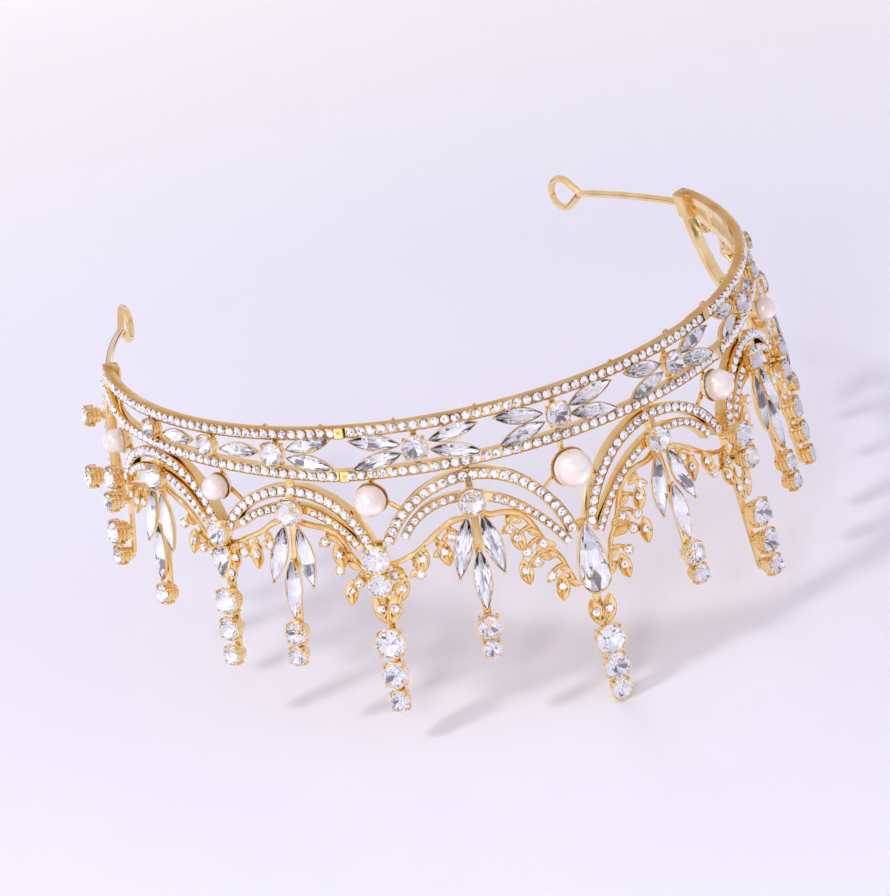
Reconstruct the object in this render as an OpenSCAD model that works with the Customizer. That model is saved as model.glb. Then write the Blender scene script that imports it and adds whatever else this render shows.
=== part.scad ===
// Bridal crown: a flared, open-backed band of soldered castings, set with crystals and pearls.
// The lower edge lies on z = 0, the crown's own axis is z, the spikes point up and the front faces -Y.
// A place on the crown is written as an angle from the front and a height measured up the slope.

/* [Band] */
// Outer radius of the lower edge
base_radius = 73; // [71:0.5:75]
// Outward lean of the whole crown, in degrees
flare = 10.8; // [9:0.2:12]
// Half angle of the band, from the front to each end
end_angle = 97; // [96:0.5:98]
// Width of a stone-set strip
strip_w = 2.4; // [2.2:0.05:2.6]
// Depth of the band strips, from face to back
strip_d = 2.2; // [1.8:0.1:2.4]
// Slope height of the upper band strip's middle
row2_height = 10; // [9.6:0.1:10.4]
// How far the upper strip comes down towards the ends
row2_drop = 2.6; // [2:0.1:3]
// Half angle of the centre casting
panel_half = 33.5; // [32.5:0.5:34.5]
// Spacing of the small stones in the strips
pave_pitch = 2.07; // [2.05:0.01:2.2]
// Diameter of the small stones in the strips
pave_d = 1.8; // [1.5:0.05:1.9]

/* [Arches] */
// Depth of the arch strips
arch_d = 3; // [2.4:0.1:3.2]
// Width of the narrow inner arch strips
inner_w = 1.9; // [1.6:0.05:2]
// How much shallower the inner arch strips are than the outer ones
inner_cut = 0.6; // [0.4:0.1:0.8]

/* [Stones and pearls] */
// Diameter of the pearl beside the front spike
pearl_d = 7.6; // [7:0.1:8]
// Diameter of the biggest crystal at a spike's foot
tip_d = 6.2; // [5.8:0.1:6.4]
// Length of a spray's pointed crystals
marquise_l = 12.6; // [12:0.1:13]
// Width of a spray's pointed crystals
marquise_w = 3.5; // [3.2:0.1:3.8]
// Width of the pear-shaped crystal at the front
pear_w = 6.2; // [5.8:0.1:6.4]
// Length of the pear-shaped crystal at the front
pear_l = 15; // [14:0.1:15.4]

/* [Tails] */
// Diameter of the tail wires
wire_d = 1.8; // [1.6:0.1:2]
// Clear height of the eye at each tail's end
eye_h = 6; // [5.6:0.1:6.4]
// How far behind the crown's axis each eye's middle lies
eye_back = 53; // [51:0.5:55]
// How far from the middle plane each eye lies
eye_side = 60; // [58:0.5:62]

/* [Hidden] */
$fn = 24;

// Angles of the spikes and of the short sprays between them, on one side of the front
cusps = [0, 30, 56, 84.5];
sprays = [15.3, 43, 70.5];
// Thickness of the flat bars that join the castings, and how far two joined pieces overlap
bar_t = 1;
overlap = 0.2;

// ---- Places on the crown -----------------------------------------------------------------
function rad(v) = base_radius + v * sin(flare);
function on(th, v, o = 0) = let (r = rad(v) + o * cos(flare))
  [-r * sin(th), -r * cos(th), v * cos(flare) - o * sin(flare)];
function to_deg(mm, v) = mm / rad(v) * 180 / PI;
function to_mm(deg, v) = deg * PI / 180 * rad(v);
function row2_v(th) = let (t = abs(th), x = min(1, max(0, (t - 36) / 45)), e = max(0, (t - 81) / 14))
  row2_height - row2_drop * x * (2 - x) - 3 * pow(e, 1.5);

// Puts its children on the crown: x to the right seen from outside, y up the slope, z outward
module seat(th, v, o = 0, turn = 0) {
  rotate([0, 0, -th])
    translate([0, -rad(v) - o * cos(flare), v * cos(flare) - o * sin(flare)])
      rotate([90 + flare, 0, 0])
        rotate([0, 0, turn])
          children();
}

// Both sides of the middle plane
module both() {
  children();
  mirror([1, 0, 0]) children();
}

// Direction of a path on the crown at its point i, as [along the band, up the slope] in mm
function heading(path, i) = let (
    a = path[max(0, i - 1)], b = path[min(len(path) - 1, i + 1)],
    m = path[i][1], d = [to_mm(b[0] - a[0], m), b[1] - a[1]])
  d / norm(d);

// A closed solid through rings of equally many points
module skin(rings) {
  n = len(rings[0]);
  k = len(rings);
  sides = [for (i = [0:k - 2], j = [0:n - 1])
    let (a = i * n + j, b = i * n + (j + 1) % n)
      each [[a, b, b + n], [a, b + n, a + n]]];
  caps = [[for (j = [n - 1:-1:0]) j], [for (j = [0:n - 1]) (k - 1) * n + j]];
  polyhedron([for (r = rings) each r], concat(sides, caps));
}

// A strip w wide that follows a path, between the depths back and front
module ribbon(path, w, back, front = 0) {
  skin([for (i = [0:len(path) - 1])
    let (h = heading(path, i), p = path[i], s = [-h[1], h[0]] * w / 2)
      [for (c = [[1, back], [1, front], [-1, front], [-1, back]])
        on(p[0] + to_deg(c[0] * s[0], p[1]), p[1] + c[0] * s[1], c[1])]]);
}

// Points at equal steps along a path
function walk(path, step, inset = 0) = let (
    lens = [for (i = [1:len(path) - 1]) let (a = path[i - 1], b = path[i])
      norm([to_mm(b[0] - a[0], (a[1] + b[1]) / 2), b[1] - a[1]])],
    sums = [for (i = 0, s = 0; i <= len(lens); s = s + (i < len(lens) ? lens[i] : 0), i = i + 1) s],
    total = sums[len(lens)] - 2 * inset,
    count = floor(total / step),
    start = inset + (total - count * step) / 2)
  [for (c = [0:count])
    let (s = start + c * step,
         i = min(len(lens) - 1, len([for (q = sums) if (q <= s) q]) - 1),
         f = (s - sums[i]) / lens[i],
         a = path[i], b = path[i + 1])
      a + (b - a) * f];

// ---- Paths -------------------------------------------------------------------------------
band_step = 3;
function span(a, b) = let (n = ceil((b - a) / band_step)) [for (i = [0:n]) a + (b - a) * i / n];
function row1_path(a, b) = [for (th = span(a, b)) [th, strip_w / 2]];
function row2_path(a, b) = [for (th = span(a, b)) [th, row2_v(th)]];

// Each leg of an arch is part of an ellipse: reach in degrees, rise, and the slope height of its end
arch_apex = [13, 12.9, 10];
arch_in = [[14.6, 23.8, 29.5], [12.2, 17.5, 26], [14, 17.5, 21.5]];
arch_out = [[14.2, 18, 24.5], [12.6, 14, 22], [13, 14, 20.5]];
inner_shift = [2.2, 0, 0];
inner_apex = [17.1, 16.4, 13.6];
inner_in = [[19.5, 39.5, 31.6], [14, 28, 25], [14.5, 22, 21.4]];
inner_out = [[9.5, 12, 23.8], [13, 14, 20.8], [12, 10, 18.2]];
leg_steps = 8;
function leg(th, v, side, l) = let (last = acos(1 - (l[2] - v) / l[1]))
  [for (i = [0:leg_steps]) let (t = last * i / leg_steps)
    [th + side * l[0] * sin(t), v + l[1] * (1 - cos(t))]];
function arch(th, v, l_in, l_out) = let (a = leg(th, v, -1, l_in), b = leg(th, v, 1, l_out))
  concat([for (i = [leg_steps:-1:1]) a[i]], b);
function outer_arch(j) = arch(sprays[j], arch_apex[j], arch_in[j], arch_out[j]);
function inner_arch(j) = arch(sprays[j] + inner_shift[j], inner_apex[j], inner_in[j], inner_out[j]);
end_arch_path = [for (t = [0:10:80]) [86 + 11 * cos(t), 3.5 + 25 * sin(t)]];

// ---- Small pieces ------------------------------------------------------------------------
// Outline with two pointed ends, l long and w wide, from y = 0 upwards
module lens(l, w) {
  r = (l * l + w * w) / (4 * w);
  intersection() {
    translate([w / 2 - r, l / 2]) circle(r, $fn = 96);
    translate([r - w / 2, l / 2]) circle(r, $fn = 96);
  }
}

// A pointed crystal, lying in its own boat
rim = 0.35;
lens_h = 0.9;
module lens_cup(l, w, deep = 1.6) {
  translate([0, -rim, -deep]) linear_extrude(deep) lens(l + 2 * rim, w + 2 * rim);
}
module lens_stone(l, w) {
  linear_extrude(lens_h) lens(l, w);
}

// A claw basket for a round crystal, and the crystal on it
basket_deep = 3.2;
module basket(d, deep = basket_deep) {
  translate([0, 0, -deep]) cylinder(h = deep, d1 = d * 0.72, d2 = d + 0.4);
  for (a = [45:90:315])
    rotate([0, 0, a])
      translate([d / 2 + 0.05, 0, -0.6]) cylinder(h = 1.2, d = 0.7, $fn = 16);
}
// A claw basket standing out on a post that starts at the depth back
post_d = 2;
module posted_basket(d, out, back) {
  basket(d);
  translate([0, 0, back - out]) cylinder(h = out - back - basket_deep / 2, d = post_d);
}
module round_stone(d) {
  cylinder(h = d * 0.24, d1 = d, d2 = d * 0.62);
}
module pave_stone(d = pave_d) {
  translate([0, 0, -0.05]) cylinder(h = 0.55, d1 = d, d2 = d * 0.62, $fn = 20);
}
// Stones along a path, but none within a distance of the place clear = [angle, slope height, distance]
module pave(path, step = pave_pitch, d = pave_d, clear = [0, 0, 0]) {
  for (p = walk(path, step, 0.3))
    if (norm([to_mm(p[0] - clear[0], clear[1]), p[1] - clear[1]]) >= clear[2])
      seat(p[0], p[1]) pave_stone(d);
}

// ---- Band --------------------------------------------------------------------------------
// The lower strip between two angles, with its lower edge flat on z = 0
module row1_strip(a, b) {
  rotate([0, 0, -90 - b])
    rotate_extrude(angle = b - a, $fn = 180)
      polygon([
        [base_radius - strip_d, 0], [base_radius, 0],
        [rad(strip_w), strip_w * cos(flare)], [rad(strip_w) - strip_d, strip_w * cos(flare)]]);
}
// Gold bars between the two strips, behind each round crystal of the band
rung_w = 1.2;
module rungs(angles) {
  for (th = angles)
    seat(th, strip_w / 2, -strip_d + overlap)
      translate([-rung_w / 2, 0, 0]) cube([rung_w, row2_v(th) - strip_w / 2, bar_t]);
}
module band(a, b, angles) {
  row1_strip(a, b);
  ribbon(row2_path(a, b), strip_w, -strip_d);
  rungs(angles);
}
band_rounds = [0, 22.2, 44.8, 57.4, 71.2];
band_round_d = [5, 5, 5, 4.2, 3.8];
side_rungs = [44.8, 57.4, 71.2, 87];
module band_centre() {
  color("goldenrod") band(-panel_half, panel_half, [-22.2, 0, 22.2]);
}
module band_right() {
  color("goldenrod") band(panel_half, end_angle - 2, side_rungs);
}
module band_left() {
  color("goldenrod") mirror([1, 0, 0]) band(panel_half, end_angle - 2, side_rungs);
}
// Flat solder tabs behind the joints of the castings
tab = [6, 1.8, 0.9];
module lap_tabs() {
  color("gold") both()
    for (v = [strip_w / 2, row2_height])
      seat(panel_half, v, -strip_d - tab[2]) translate([-tab[0] / 2, -tab[1] / 2, 0]) cube(tab);
}
module row1_stones() {
  color("white") pave(row1_path(-end_angle + 2, end_angle - 2));
}
module row2_stones() {
  color("white") pave(row2_path(-end_angle + 2, end_angle - 2));
}

// Pairs of pointed crystals spread from the round crystals between the strips: [angle, way along the band]
pair_l = 9.9;
pair_w = 3;
pair_turn = 11.5;
pair_start = 2.9;
pair_roots = [[0, 1], [22.2, -1], [22.2, 1], [44.8, -1]];
single = [9.2, 2.9];
single_marquises = [51.1, 64.4];
function middle_v(th) = (row2_v(th) + strip_w / 2) / 2;
// Calls its children once for each pointed crystal of the band, lying along +y
module at_band_pairs() {
  both()
    for (root = pair_roots, s = [-1, 1])
      let (v = middle_v(root[0]), th = root[0] + root[1] * to_deg(pair_start, v))
        seat(th, v + s * pair_w * 0.3, 0, root[1] * (90 - s * pair_turn)) children();
}
module at_band_singles() {
  both()
    for (th = single_marquises)
      seat(th, middle_v(th), 0, 90) translate([0, -single[0] / 2, 0]) children();
}
module band_marquise_cups() {
  color("goldenrod") {
    at_band_pairs() lens_cup(pair_l, pair_w);
    at_band_singles() lens_cup(single[0], single[1]);
  }
}
module band_marquise_stones() {
  color("white") {
    at_band_pairs() lens_stone(pair_l, pair_w);
    at_band_singles() lens_stone(single[0], single[1]);
  }
}
module at_band_rounds(i) {
  seat(band_rounds[i], middle_v(band_rounds[i]), 1) children();
}
module each_band_round() {
  for (i = [0:len(band_rounds) - 1]) {
    $d = band_round_d[i];
    at_band_rounds(i) children();
    if (i > 0) mirror([1, 0, 0]) at_band_rounds(i) children();
  }
}
module band_round_cups() {
  color("goldenrod") each_band_round() basket($d, 2.6);
}
module band_round_stones() {
  color("white") each_band_round() round_stone($d);
}

// ---- Arches ------------------------------------------------------------------------------
arch_tab_w = 1.8;
module arch_pair(j) {
  ribbon(outer_arch(j), strip_w, -arch_d);
  ribbon(inner_arch(j), inner_w, -arch_d + inner_cut);
  // the tab that ties both arches to the upper band strip
  seat(sprays[j], row2_v(sprays[j]), -1.4)
    translate([-arch_tab_w / 2, 0, 0]) cube([arch_tab_w, inner_apex[j] - row2_v(sprays[j]), bar_t]);
}
module arches_centre() {
  color("gold") both() arch_pair(0);
}
module arches_right() {
  color("gold") for (j = [1, 2]) arch_pair(j);
}
module arches_left() {
  color("gold") mirror([1, 0, 0]) for (j = [1, 2]) arch_pair(j);
}
// Two claw baskets stand out on posts from each half arch: [angle, slope height, out, diameter]
posted = [[96.2, 11.8, 4.2, 4.2], [92, 24, 5, 4.8]];
module at_posted() {
  for (p = posted) {
    $out = p[2];
    $d = p[3];
    seat(p[0], p[1], p[2]) children();
  }
}
module end_arch() {
  ribbon(end_arch_path, strip_w, -arch_d + inner_cut);
  at_posted() posted_basket($d, $out, -1);
}
module end_arch_right() {
  color("gold") end_arch();
}
module end_arch_left() {
  color("gold") mirror([1, 0, 0]) end_arch();
}
module arch_outer_stones() {
  color("white") both() for (j = [0:2]) pave(outer_arch(j));
}
module arch_inner_stones() {
  color("white") both()
    for (j = [0:2]) pave(inner_arch(j), 1.75, 1.4, [sprays[j], spray_v[j], spray_round_d / 2 + 0.9]);
}
module end_arch_stones() {
  color("white") both() {
    pave(end_arch_path);
    at_posted() round_stone($d);
  }
}

// ---- Pearls ------------------------------------------------------------------------------
pearl_v = [16.6, 15, 13.2, 12.3];
pearl_ds = [pearl_d, pearl_d - 1.2, pearl_d - 2.2, pearl_d - 2.2];
seat_o = -1.2;
function pearl_o(d) = seat_o + d / 2 - 0.5;
module each_pearl() {
  for (i = [0:3]) {
    $i = i;
    $d = pearl_ds[i];
    seat(cusps[i], pearl_v[i]) children();
    if (i > 0) mirror([1, 0, 0]) seat(cusps[i], pearl_v[i]) children();
  }
}
peg_d = 1;
module peg(d) {
  translate([0, 0, seat_o]) cylinder(h = d * 0.6, d = peg_d);
}
// Half-drilled pearls
module pearls() {
  color("seashell") each_pearl()
    difference() {
      translate([0, 0, pearl_o($d)]) sphere(d = $d);
      peg($d);
    }
}
// The pegs that the pearls are glued on
module pearl_pegs() {
  color("gold") each_pearl() peg($d);
}
// A dished cup behind each pearl, a strut to the band and struts that reach the arches beside it
cup_o = seat_o - 1.2;
strut = [1, 0.9];
strut_turn = 65;
function strut_l(d) = d * 0.45 + 4.6;
module pearl_seats() {
  color("gold") each_pearl() {
    difference() {
      translate([0, 0, cup_o]) cylinder(h = $d * 0.37, d1 = $d * 0.5, d2 = $d * 0.98);
      translate([0, 0, pearl_o($d)]) sphere(d = $d);
      peg($d);
    }
    translate([-rung_w / 2, 0, cup_o])
      mirror([0, 1, 0]) cube([rung_w, pearl_v[$i] - row2_v(cusps[$i]), bar_t]);
    for (s = $i == 3 ? [-1] : [-1, 1])
      translate([0, 0, cup_o]) rotate([0, 0, s * strut_turn])
        translate([-strut[0] / 2, 0, 0]) cube([strut[0], strut_l($d), strut[1]]);
  }
}

// ---- Spikes ------------------------------------------------------------------------------
// Tip crystals and, nearer the band, head crystals of each spike: [slope height, diameter, out]
tips = [
  [[53.6, tip_d, 1.2], [59.4, tip_d - 0.9, 1.2], [64.4, tip_d - 1.9, 1.2]],
  [[44.4, tip_d - 0.2, 3], [51.1, tip_d - 1, 3], [56.8, tip_d - 1.9, 2.8]],
  [[38, tip_d - 0.8, 1.2], [44.1, tip_d - 1.4, 1.2], [50, tip_d - 2.2, 1.2]],
  [[33.4, tip_d - 0.8, 2.7], [39, tip_d - 2.2, 2.2]]];
heads = [[], [[26.4, 5.4, 4.2], [31.7, 4.5, 4.2]], [[22.8, 5, 2]], [[20.6, 5, 2.7], [26.2, 4.2, 3.4]]];
// Pear-shaped crystals: [slope height of the point, length, width]; a negative length points up the slope
pears = [[[28, pear_l, pear_w]], [], [[32.3, -6.6, 4.4]], []];
// Leaves of each spike, and the slope height of their roots
leaf_l = 6;
leaf_w = 2.9;
leaf_roots = [50.3, 40.8, 34.4];
face_o = 1.2;
// The bar behind each spike: its width, its back's depth and the slope height where it starts
stem_w = 1.6;
stem_back = -2;
stem_from = [28, 24, 20.5, 18.4];
module pear(l, w) {
  r = w / 2;
  c = abs(l) - r;
  a = asin(r / c);
  t = sqrt(c * c - r * r);
  mirror([0, l < 0 ? 1 : 0, 0]) {
    translate([0, c]) circle(r, $fn = 48);
    polygon([[0, 0], [t * sin(a), t * cos(a)], [0, c], [-t * sin(a), t * cos(a)]]);
  }
}
module at_leaves(i) {
  if (i < 3)
    for (s = i == 2 ? [1] : [-1, 1])
      translate([s * 0.7, leaf_roots[i], 0.4]) rotate([0, 0, 180 + s * 14]) children();
}
module finial(i) {
  last = tips[i][len(tips[i]) - 1][0];
  translate([-stem_w / 2, stem_from[i], stem_back]) cube([stem_w, last - stem_from[i], bar_t]);
  for (p = concat(tips[i], heads[i]))
    translate([0, p[0], p[2]]) posted_basket(p[1], p[2], stem_back + bar_t / 2);
  for (p = pears[i])
    translate([0, p[0] - sign(p[1]) * rim, stem_back])
      linear_extrude(face_o - stem_back) pear(p[1] + sign(p[1]) * 2 * rim, p[2] + 2 * rim);
  at_leaves(i) lens_cup(leaf_l, leaf_w, 2);
}
module finial_left(i) {
  mirror([1, 0, 0]) finial_right(i);
}
module finial_right(i) {
  color("goldenrod") seat(cusps[i], 0) finial(i);
}
module finial_centre() {
  finial_right(0);
}
module finial_inner_left() {
  finial_left(1);
}
module finial_inner_right() {
  finial_right(1);
}
module finial_outer_left() {
  finial_left(2);
}
module finial_outer_right() {
  finial_right(2);
}
module finial_end_left() {
  finial_left(3);
}
module finial_end_right() {
  finial_right(3);
}
module each_finial() {
  for (i = [0:3]) {
    $i = i;
    seat(cusps[i], 0) children();
    if (i > 0) mirror([1, 0, 0]) seat(cusps[i], 0) children();
  }
}
module finial_stones() {
  color("white") each_finial()
    for (p = concat(tips[$i], heads[$i])) translate([0, p[0], p[2]]) round_stone(p[1]);
}
module pear_stones() {
  color("white") each_finial()
    for (p = pears[$i]) translate([0, p[0], face_o]) linear_extrude(1.2) pear(p[1], p[2]);
}
module leaf_stones() {
  color("white") each_finial()
    at_leaves($i) translate([0, leaf_l * 0.45, 0]) pave_stone(1.9);
}

// ---- Sprays ------------------------------------------------------------------------------
// For each spray: slope height of its round crystal, its lean away from the front in degrees, and its
// tip crystals [slope height, diameter]
spray_v = [18.3, 17.1, 14.9];
spray_lean = [3, 4, 0];
spray_round_d = 5.4;
spray_tips = [[[44.2, 4.7], [48.9, 3.9]], [[43, 4.6], [47.9, 3.9]], [[41.3, 4.3]]];
side_turn = 13.5;
module at_spray(j) {
  seat(sprays[j], spray_v[j], 0, spray_lean[j]) translate([0, -spray_v[j], 0]) children();
}
module at_side_marquises(j) {
  for (s = [-1, 1])
    translate([s * 1.5, spray_v[j] + 2.9, 0.6]) rotate([0, 0, -s * side_turn]) children();
}
module at_centre_marquise(j) {
  translate([0, spray_tips[j][0][0] - spray_tips[j][0][1] / 2 - 1.2 - marquise_l, 0.9]) children();
}
module spray(j) {
  stones = spray_tips[j];
  translate([0, spray_v[j], face_o]) basket(spray_round_d, 2.6);
  at_side_marquises(j) lens_cup(marquise_l, marquise_w);
  at_centre_marquise(j) lens_cup(marquise_l, marquise_w);
  translate([-stem_w / 2, spray_v[j], stem_back + inner_cut])
    cube([stem_w, stones[len(stones) - 1][0] - spray_v[j], bar_t]);
  for (p = stones) translate([0, p[0], face_o]) basket(p[1]);
}
module spray_right(j) {
  color("goldenrod") at_spray(j) spray(j);
}
module spray_left(j) {
  mirror([1, 0, 0]) spray_right(j);
}
module spray_inner_left() {
  spray_left(0);
}
module spray_inner_right() {
  spray_right(0);
}
module spray_outer_left() {
  spray_left(1);
}
module spray_outer_right() {
  spray_right(1);
}
module spray_end_left() {
  spray_left(2);
}
module spray_end_right() {
  spray_right(2);
}
module each_spray() {
  both()
    for (j = [0:2]) {
      $j = j;
      at_spray(j) children();
    }
}
module spray_marquise_stones() {
  color("white") each_spray() {
    at_side_marquises($j) lens_stone(marquise_l, marquise_w);
    at_centre_marquise($j) lens_stone(marquise_l, marquise_w);
  }
}
module spray_round_stones() {
  color("white") each_spray() {
    translate([0, spray_v[$j], face_o]) round_stone(spray_round_d);
    for (p = spray_tips[$j]) translate([0, p[0], face_o]) round_stone(p[1]);
  }
}

// ---- Vines -------------------------------------------------------------------------------
// From each spray's round crystal a vine runs on both sides to the next spikes, the inner half to the
// spike nearer the front. Places are [degrees from the spray, slope height], leaves have a turn as well.
vine_w = 1.2;
stalk_w = 0.8;
vine_o = -1.2;
in_line = [
  [[0, 20.6], [2, 22], [4, 22.2], [5.9, 22.9], [7.3, 24.4], [8.3, 26.9], [9.2, 29.7], [10.3, 32.5],
    [11.3, 34.6], [11.9, 37.2], [12.7, 41]],
  [[0, 19.4], [2.8, 20.3], [5, 21], [6.8, 22.6], [7.8, 24.6], [8.6, 27], [10, 29.4], [12.2, 31.4]],
  [[0, 17], [2.4, 18.2], [5, 19.6], [7.4, 21.6], [9.6, 24.2], [11.4, 26], [14, 27.2]]];
out_line = [
  [[0, 20.6], [1.6, 21.7], [3.4, 21.9], [5.5, 23.4], [7.8, 25.6], [10, 27.6], [12.6, 28.8], [14.6, 29]],
  [[0, 19.4], [2.4, 19.4], [4.4, 20.6], [6.1, 22.2], [8.4, 23.6], [10.6, 24.9], [12.8, 25.6]],
  [[0, 17], [2.4, 18], [5, 19.2], [8, 20.2], [11, 21.4], [13.8, 22.8]]];
in_buds = [
  [[4.6, 25.6], [9, 30.2], [6.4, 31], [7.7, 33.6], [9.2, 37.3]],
  [[5, 23.4], [6.7, 29.4], [9.4, 32.2]],
  [[6.2, 23.2], [10.2, 27.4]]];
in_leaves = [
  [[5.5, 28, 14], [5.7, 35, 6], [10.4, 40.2, -8]],
  [[7, 26.4, 10], [8, 34, -6]],
  [[8.2, 26.6, -6]]];
out_buds = [
  [[3.8, 24.6], [9.2, 31.4], [13, 31]],
  [[4.2, 24.4], [9, 26.6]],
  [[5.2, 22.6], [9.9, 22.8]]];
out_leaves = [
  [[5.2, 27.8, -10], [8.6, 28.6, 12], [12.2, 34.2, 24]],
  [[6.8, 27, -6], [11, 28.4, 10]],
  [[7.6, 23.6, 8]]];
bud_d = 2.3;
vine_leaf_l = 5.4;
vine_leaf_w = 2.7;
// Half of a vine on the crown: way is -1 towards the front, 1 away from it
function placed(j, way, p) = [sprays[j] + way * p[0], p[1]];
module at_vine(j, way, p) {
  seat(sprays[j] + way * p[0], p[1], 0.2, len(p) > 2 ? way * p[2] : 0) children();
}
module bud() {
  translate([0, 0, vine_o - 0.6]) cylinder(h = 0.6 - vine_o, d = bud_d);
}
module vine_leaf() {
  translate([0, -vine_leaf_l / 2, 0]) lens_cup(vine_leaf_l, vine_leaf_w);
}
function gap(a, b) = norm([to_mm(a[0] - b[0], b[1]), a[1] - b[1]]);
// A short straight stalk from the nearest point of the vine's line
module stalk(line, p) {
  nearest = min([for (q = line) gap(q, p)]);
  from = [for (q = line) if (gap(q, p) == nearest) q][0];
  ribbon([from, p], stalk_w, vine_o - stalk_w / 2, vine_o + stalk_w / 2);
}
module half_vine(j, way, line, leaves, buds) {
  path = [for (p = line) placed(j, way, p)];
  ribbon(path, vine_w, vine_o - vine_w / 2, vine_o + vine_w / 2);
  for (p = leaves) at_vine(j, way, p) vine_leaf();
  for (p = buds) at_vine(j, way, p) bud();
  for (p = concat(leaves, buds)) stalk(path, placed(j, way, p));
}
module vine(j) {
  half_vine(j, -1, in_line[j], in_leaves[j], in_buds[j]);
  half_vine(j, 1, out_line[j], out_leaves[j], out_buds[j]);
}
module vines_centre() {
  color("gold") both() vine(0);
}
module vines_right() {
  color("gold") for (j = [1, 2]) vine(j);
}
module vines_left() {
  color("gold") mirror([1, 0, 0]) for (j = [1, 2]) vine(j);
}
module vine_stones() {
  color("white") both()
    for (j = [0:2]) {
      for (p = in_leaves[j]) at_vine(j, -1, p) pave_stone(1.7);
      for (p = out_leaves[j]) at_vine(j, 1, p) pave_stone(1.7);
      for (p = in_buds[j]) at_vine(j, -1, p) pave_stone();
      for (p = out_buds[j]) at_vine(j, 1, p) pave_stone();
    }
}

// ---- Tails -------------------------------------------------------------------------------
// A square boss at each end of the band, bored for the tail wire
boss_th = end_angle - 1.6;
boss = [4.4, 6.6, 3.6];
tail_o = -1.9;
tail_v = 3.2;
tail_start = on(-boss_th, tail_v, tail_o);
tail_chord = [eye_side, eye_back, 9] - tail_start;
tail_pitch = atan2(tail_chord[2], norm([tail_chord[0], tail_chord[1]]));
tail_yaw = boss_th - 90;
tail_bend = 2 * (atan2(-tail_chord[0], tail_chord[1]) - tail_yaw);
eye_r = (eye_h + wire_d) / 2;
// Bend at the eye's neck, half angle of the eye's tip, and how far its end stops before the legs cross
neck_r = 1.5;
eye_lean = 37.5;
eye_open = 1.35;
eye_leg = (eye_r * cos(eye_lean) - neck_r * (1 - cos(eye_lean))) / sin(eye_lean);
eye_reach = (neck_r + eye_r) * sin(eye_lean) + eye_leg * cos(eye_lean);
tail_len = norm(tail_chord) - eye_reach;
tail_r = tail_len / (2 * sin(tail_bend / 2));
module at_tail() {
  translate(tail_start) rotate([0, 0, tail_yaw]) rotate([tail_pitch, 0, 0]) children();
}
module end_block() {
  difference() {
    mirror([1, 0, 0])
      seat(boss_th, 0, 0) translate([-boss[0] / 2, 0, -boss[2]]) cube(boss);
    at_tail() translate([0, boss[0], 0]) rotate([90, 0, 0]) cylinder(h = boss[0] + 1.5, d = wire_d);
  }
}
// The wire is one sweep: a straight end in the boss, a long gentle bend in the plane of at_tail(), then
// a pear-shaped eye upright in the plane of the bend's end, whose tip stops just short of its own neck.
// A point of the sweep is [place, heading, elevation].
bend_steps = 24;
bend = [for (i = [0:bend_steps]) let (a = tail_bend * i / bend_steps)
  [[tail_r * (cos(a) - 1), tail_r * sin(a), 0], 90 + a, 0]];
neck_steps = 3;
neck = [for (i = [1:neck_steps]) let (a = eye_lean * i / neck_steps)
  [neck_r * sin(a), neck_r * (cos(a) - 1), -a]];
ring_steps = 20;
ring = [for (i = [0:ring_steps]) let (e = -eye_lean + (180 + 2 * eye_lean) * i / ring_steps)
  [eye_reach + eye_r * sin(e), -eye_r * cos(e), e]];
crossing = neck_r * (sin(eye_lean) - (1 - cos(eye_lean)) / tan(eye_lean));
eye_end = [crossing + eye_open * cos(eye_lean), eye_open * sin(eye_lean), 180 + eye_lean];
eye_heading = 90 + tail_bend;
tail_sweep = concat([[[0, -1.5, 0], 90, 0]], bend, [for (p = concat(neck, ring, [eye_end]))
  [bend[bend_steps][0] + [p[0] * cos(eye_heading), p[0] * sin(eye_heading), p[1]], eye_heading, p[2]]]);
wire_sides = 12;
module tail_wire() {
  at_tail()
    skin([for (p = tail_sweep) let (h = p[1], e = p[2])
      [for (i = [0:wire_sides - 1]) let (u = 360 * i / wire_sides)
        p[0] + wire_d / 2 * (cos(u) * [-sin(h), cos(h), 0]
          + sin(u) * [-sin(e) * cos(h), -sin(e) * sin(h), cos(e)])]]);
}
module end_block_left() {
  color("goldenrod") end_block();
}
module end_block_right() {
  color("goldenrod") mirror([1, 0, 0]) end_block();
}
module tail_wire_left() {
  color("gold") tail_wire();
}
module tail_wire_right() {
  color("gold") mirror([1, 0, 0]) tail_wire();
}
// Small loops inside the lower edge, for thread or hairpins
loop_angles = [12, 25, 37, 47];
module sewing_loops() {
  color("gold") both()
    for (th = loop_angles)
      seat(th, 1.2, -strip_d) rotate([0, 90, 0])
        rotate_extrude(angle = 180) translate([1.2, 0]) circle(d = 0.7);
}

band_centre();
band_left();
band_right();
lap_tabs();
row1_stones();
row2_stones();
band_marquise_cups();
band_marquise_stones();
band_round_cups();
band_round_stones();
arches_centre();
arches_left();
arches_right();
end_arch_left();
end_arch_right();
arch_outer_stones();
arch_inner_stones();
end_arch_stones();
pearls();
pearl_pegs();
pearl_seats();
finial_centre();
finial_inner_left();
finial_inner_right();
finial_outer_left();
finial_outer_right();
finial_end_left();
finial_end_right();
finial_stones();
pear_stones();
leaf_stones();
spray_inner_left();
spray_inner_right();
spray_outer_left();
spray_outer_right();
spray_end_left();
spray_end_right();
spray_marquise_stones();
spray_round_stones();
vines_centre();
vines_left();
vines_right();
vine_stones();
end_block_left();
end_block_right();
tail_wire_left();
tail_wire_right();
sewing_loops();
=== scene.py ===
"""Looks of the bridal crown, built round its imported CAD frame.

Lengths are millimetres and angles degrees until a mesh is made; MM turns them into metres.
A place on the crown is an angle from the front, a height up the slope and a distance out from its face.
"""
import math

import bpy
import numpy as np
from mathutils import Matrix, Vector

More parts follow.
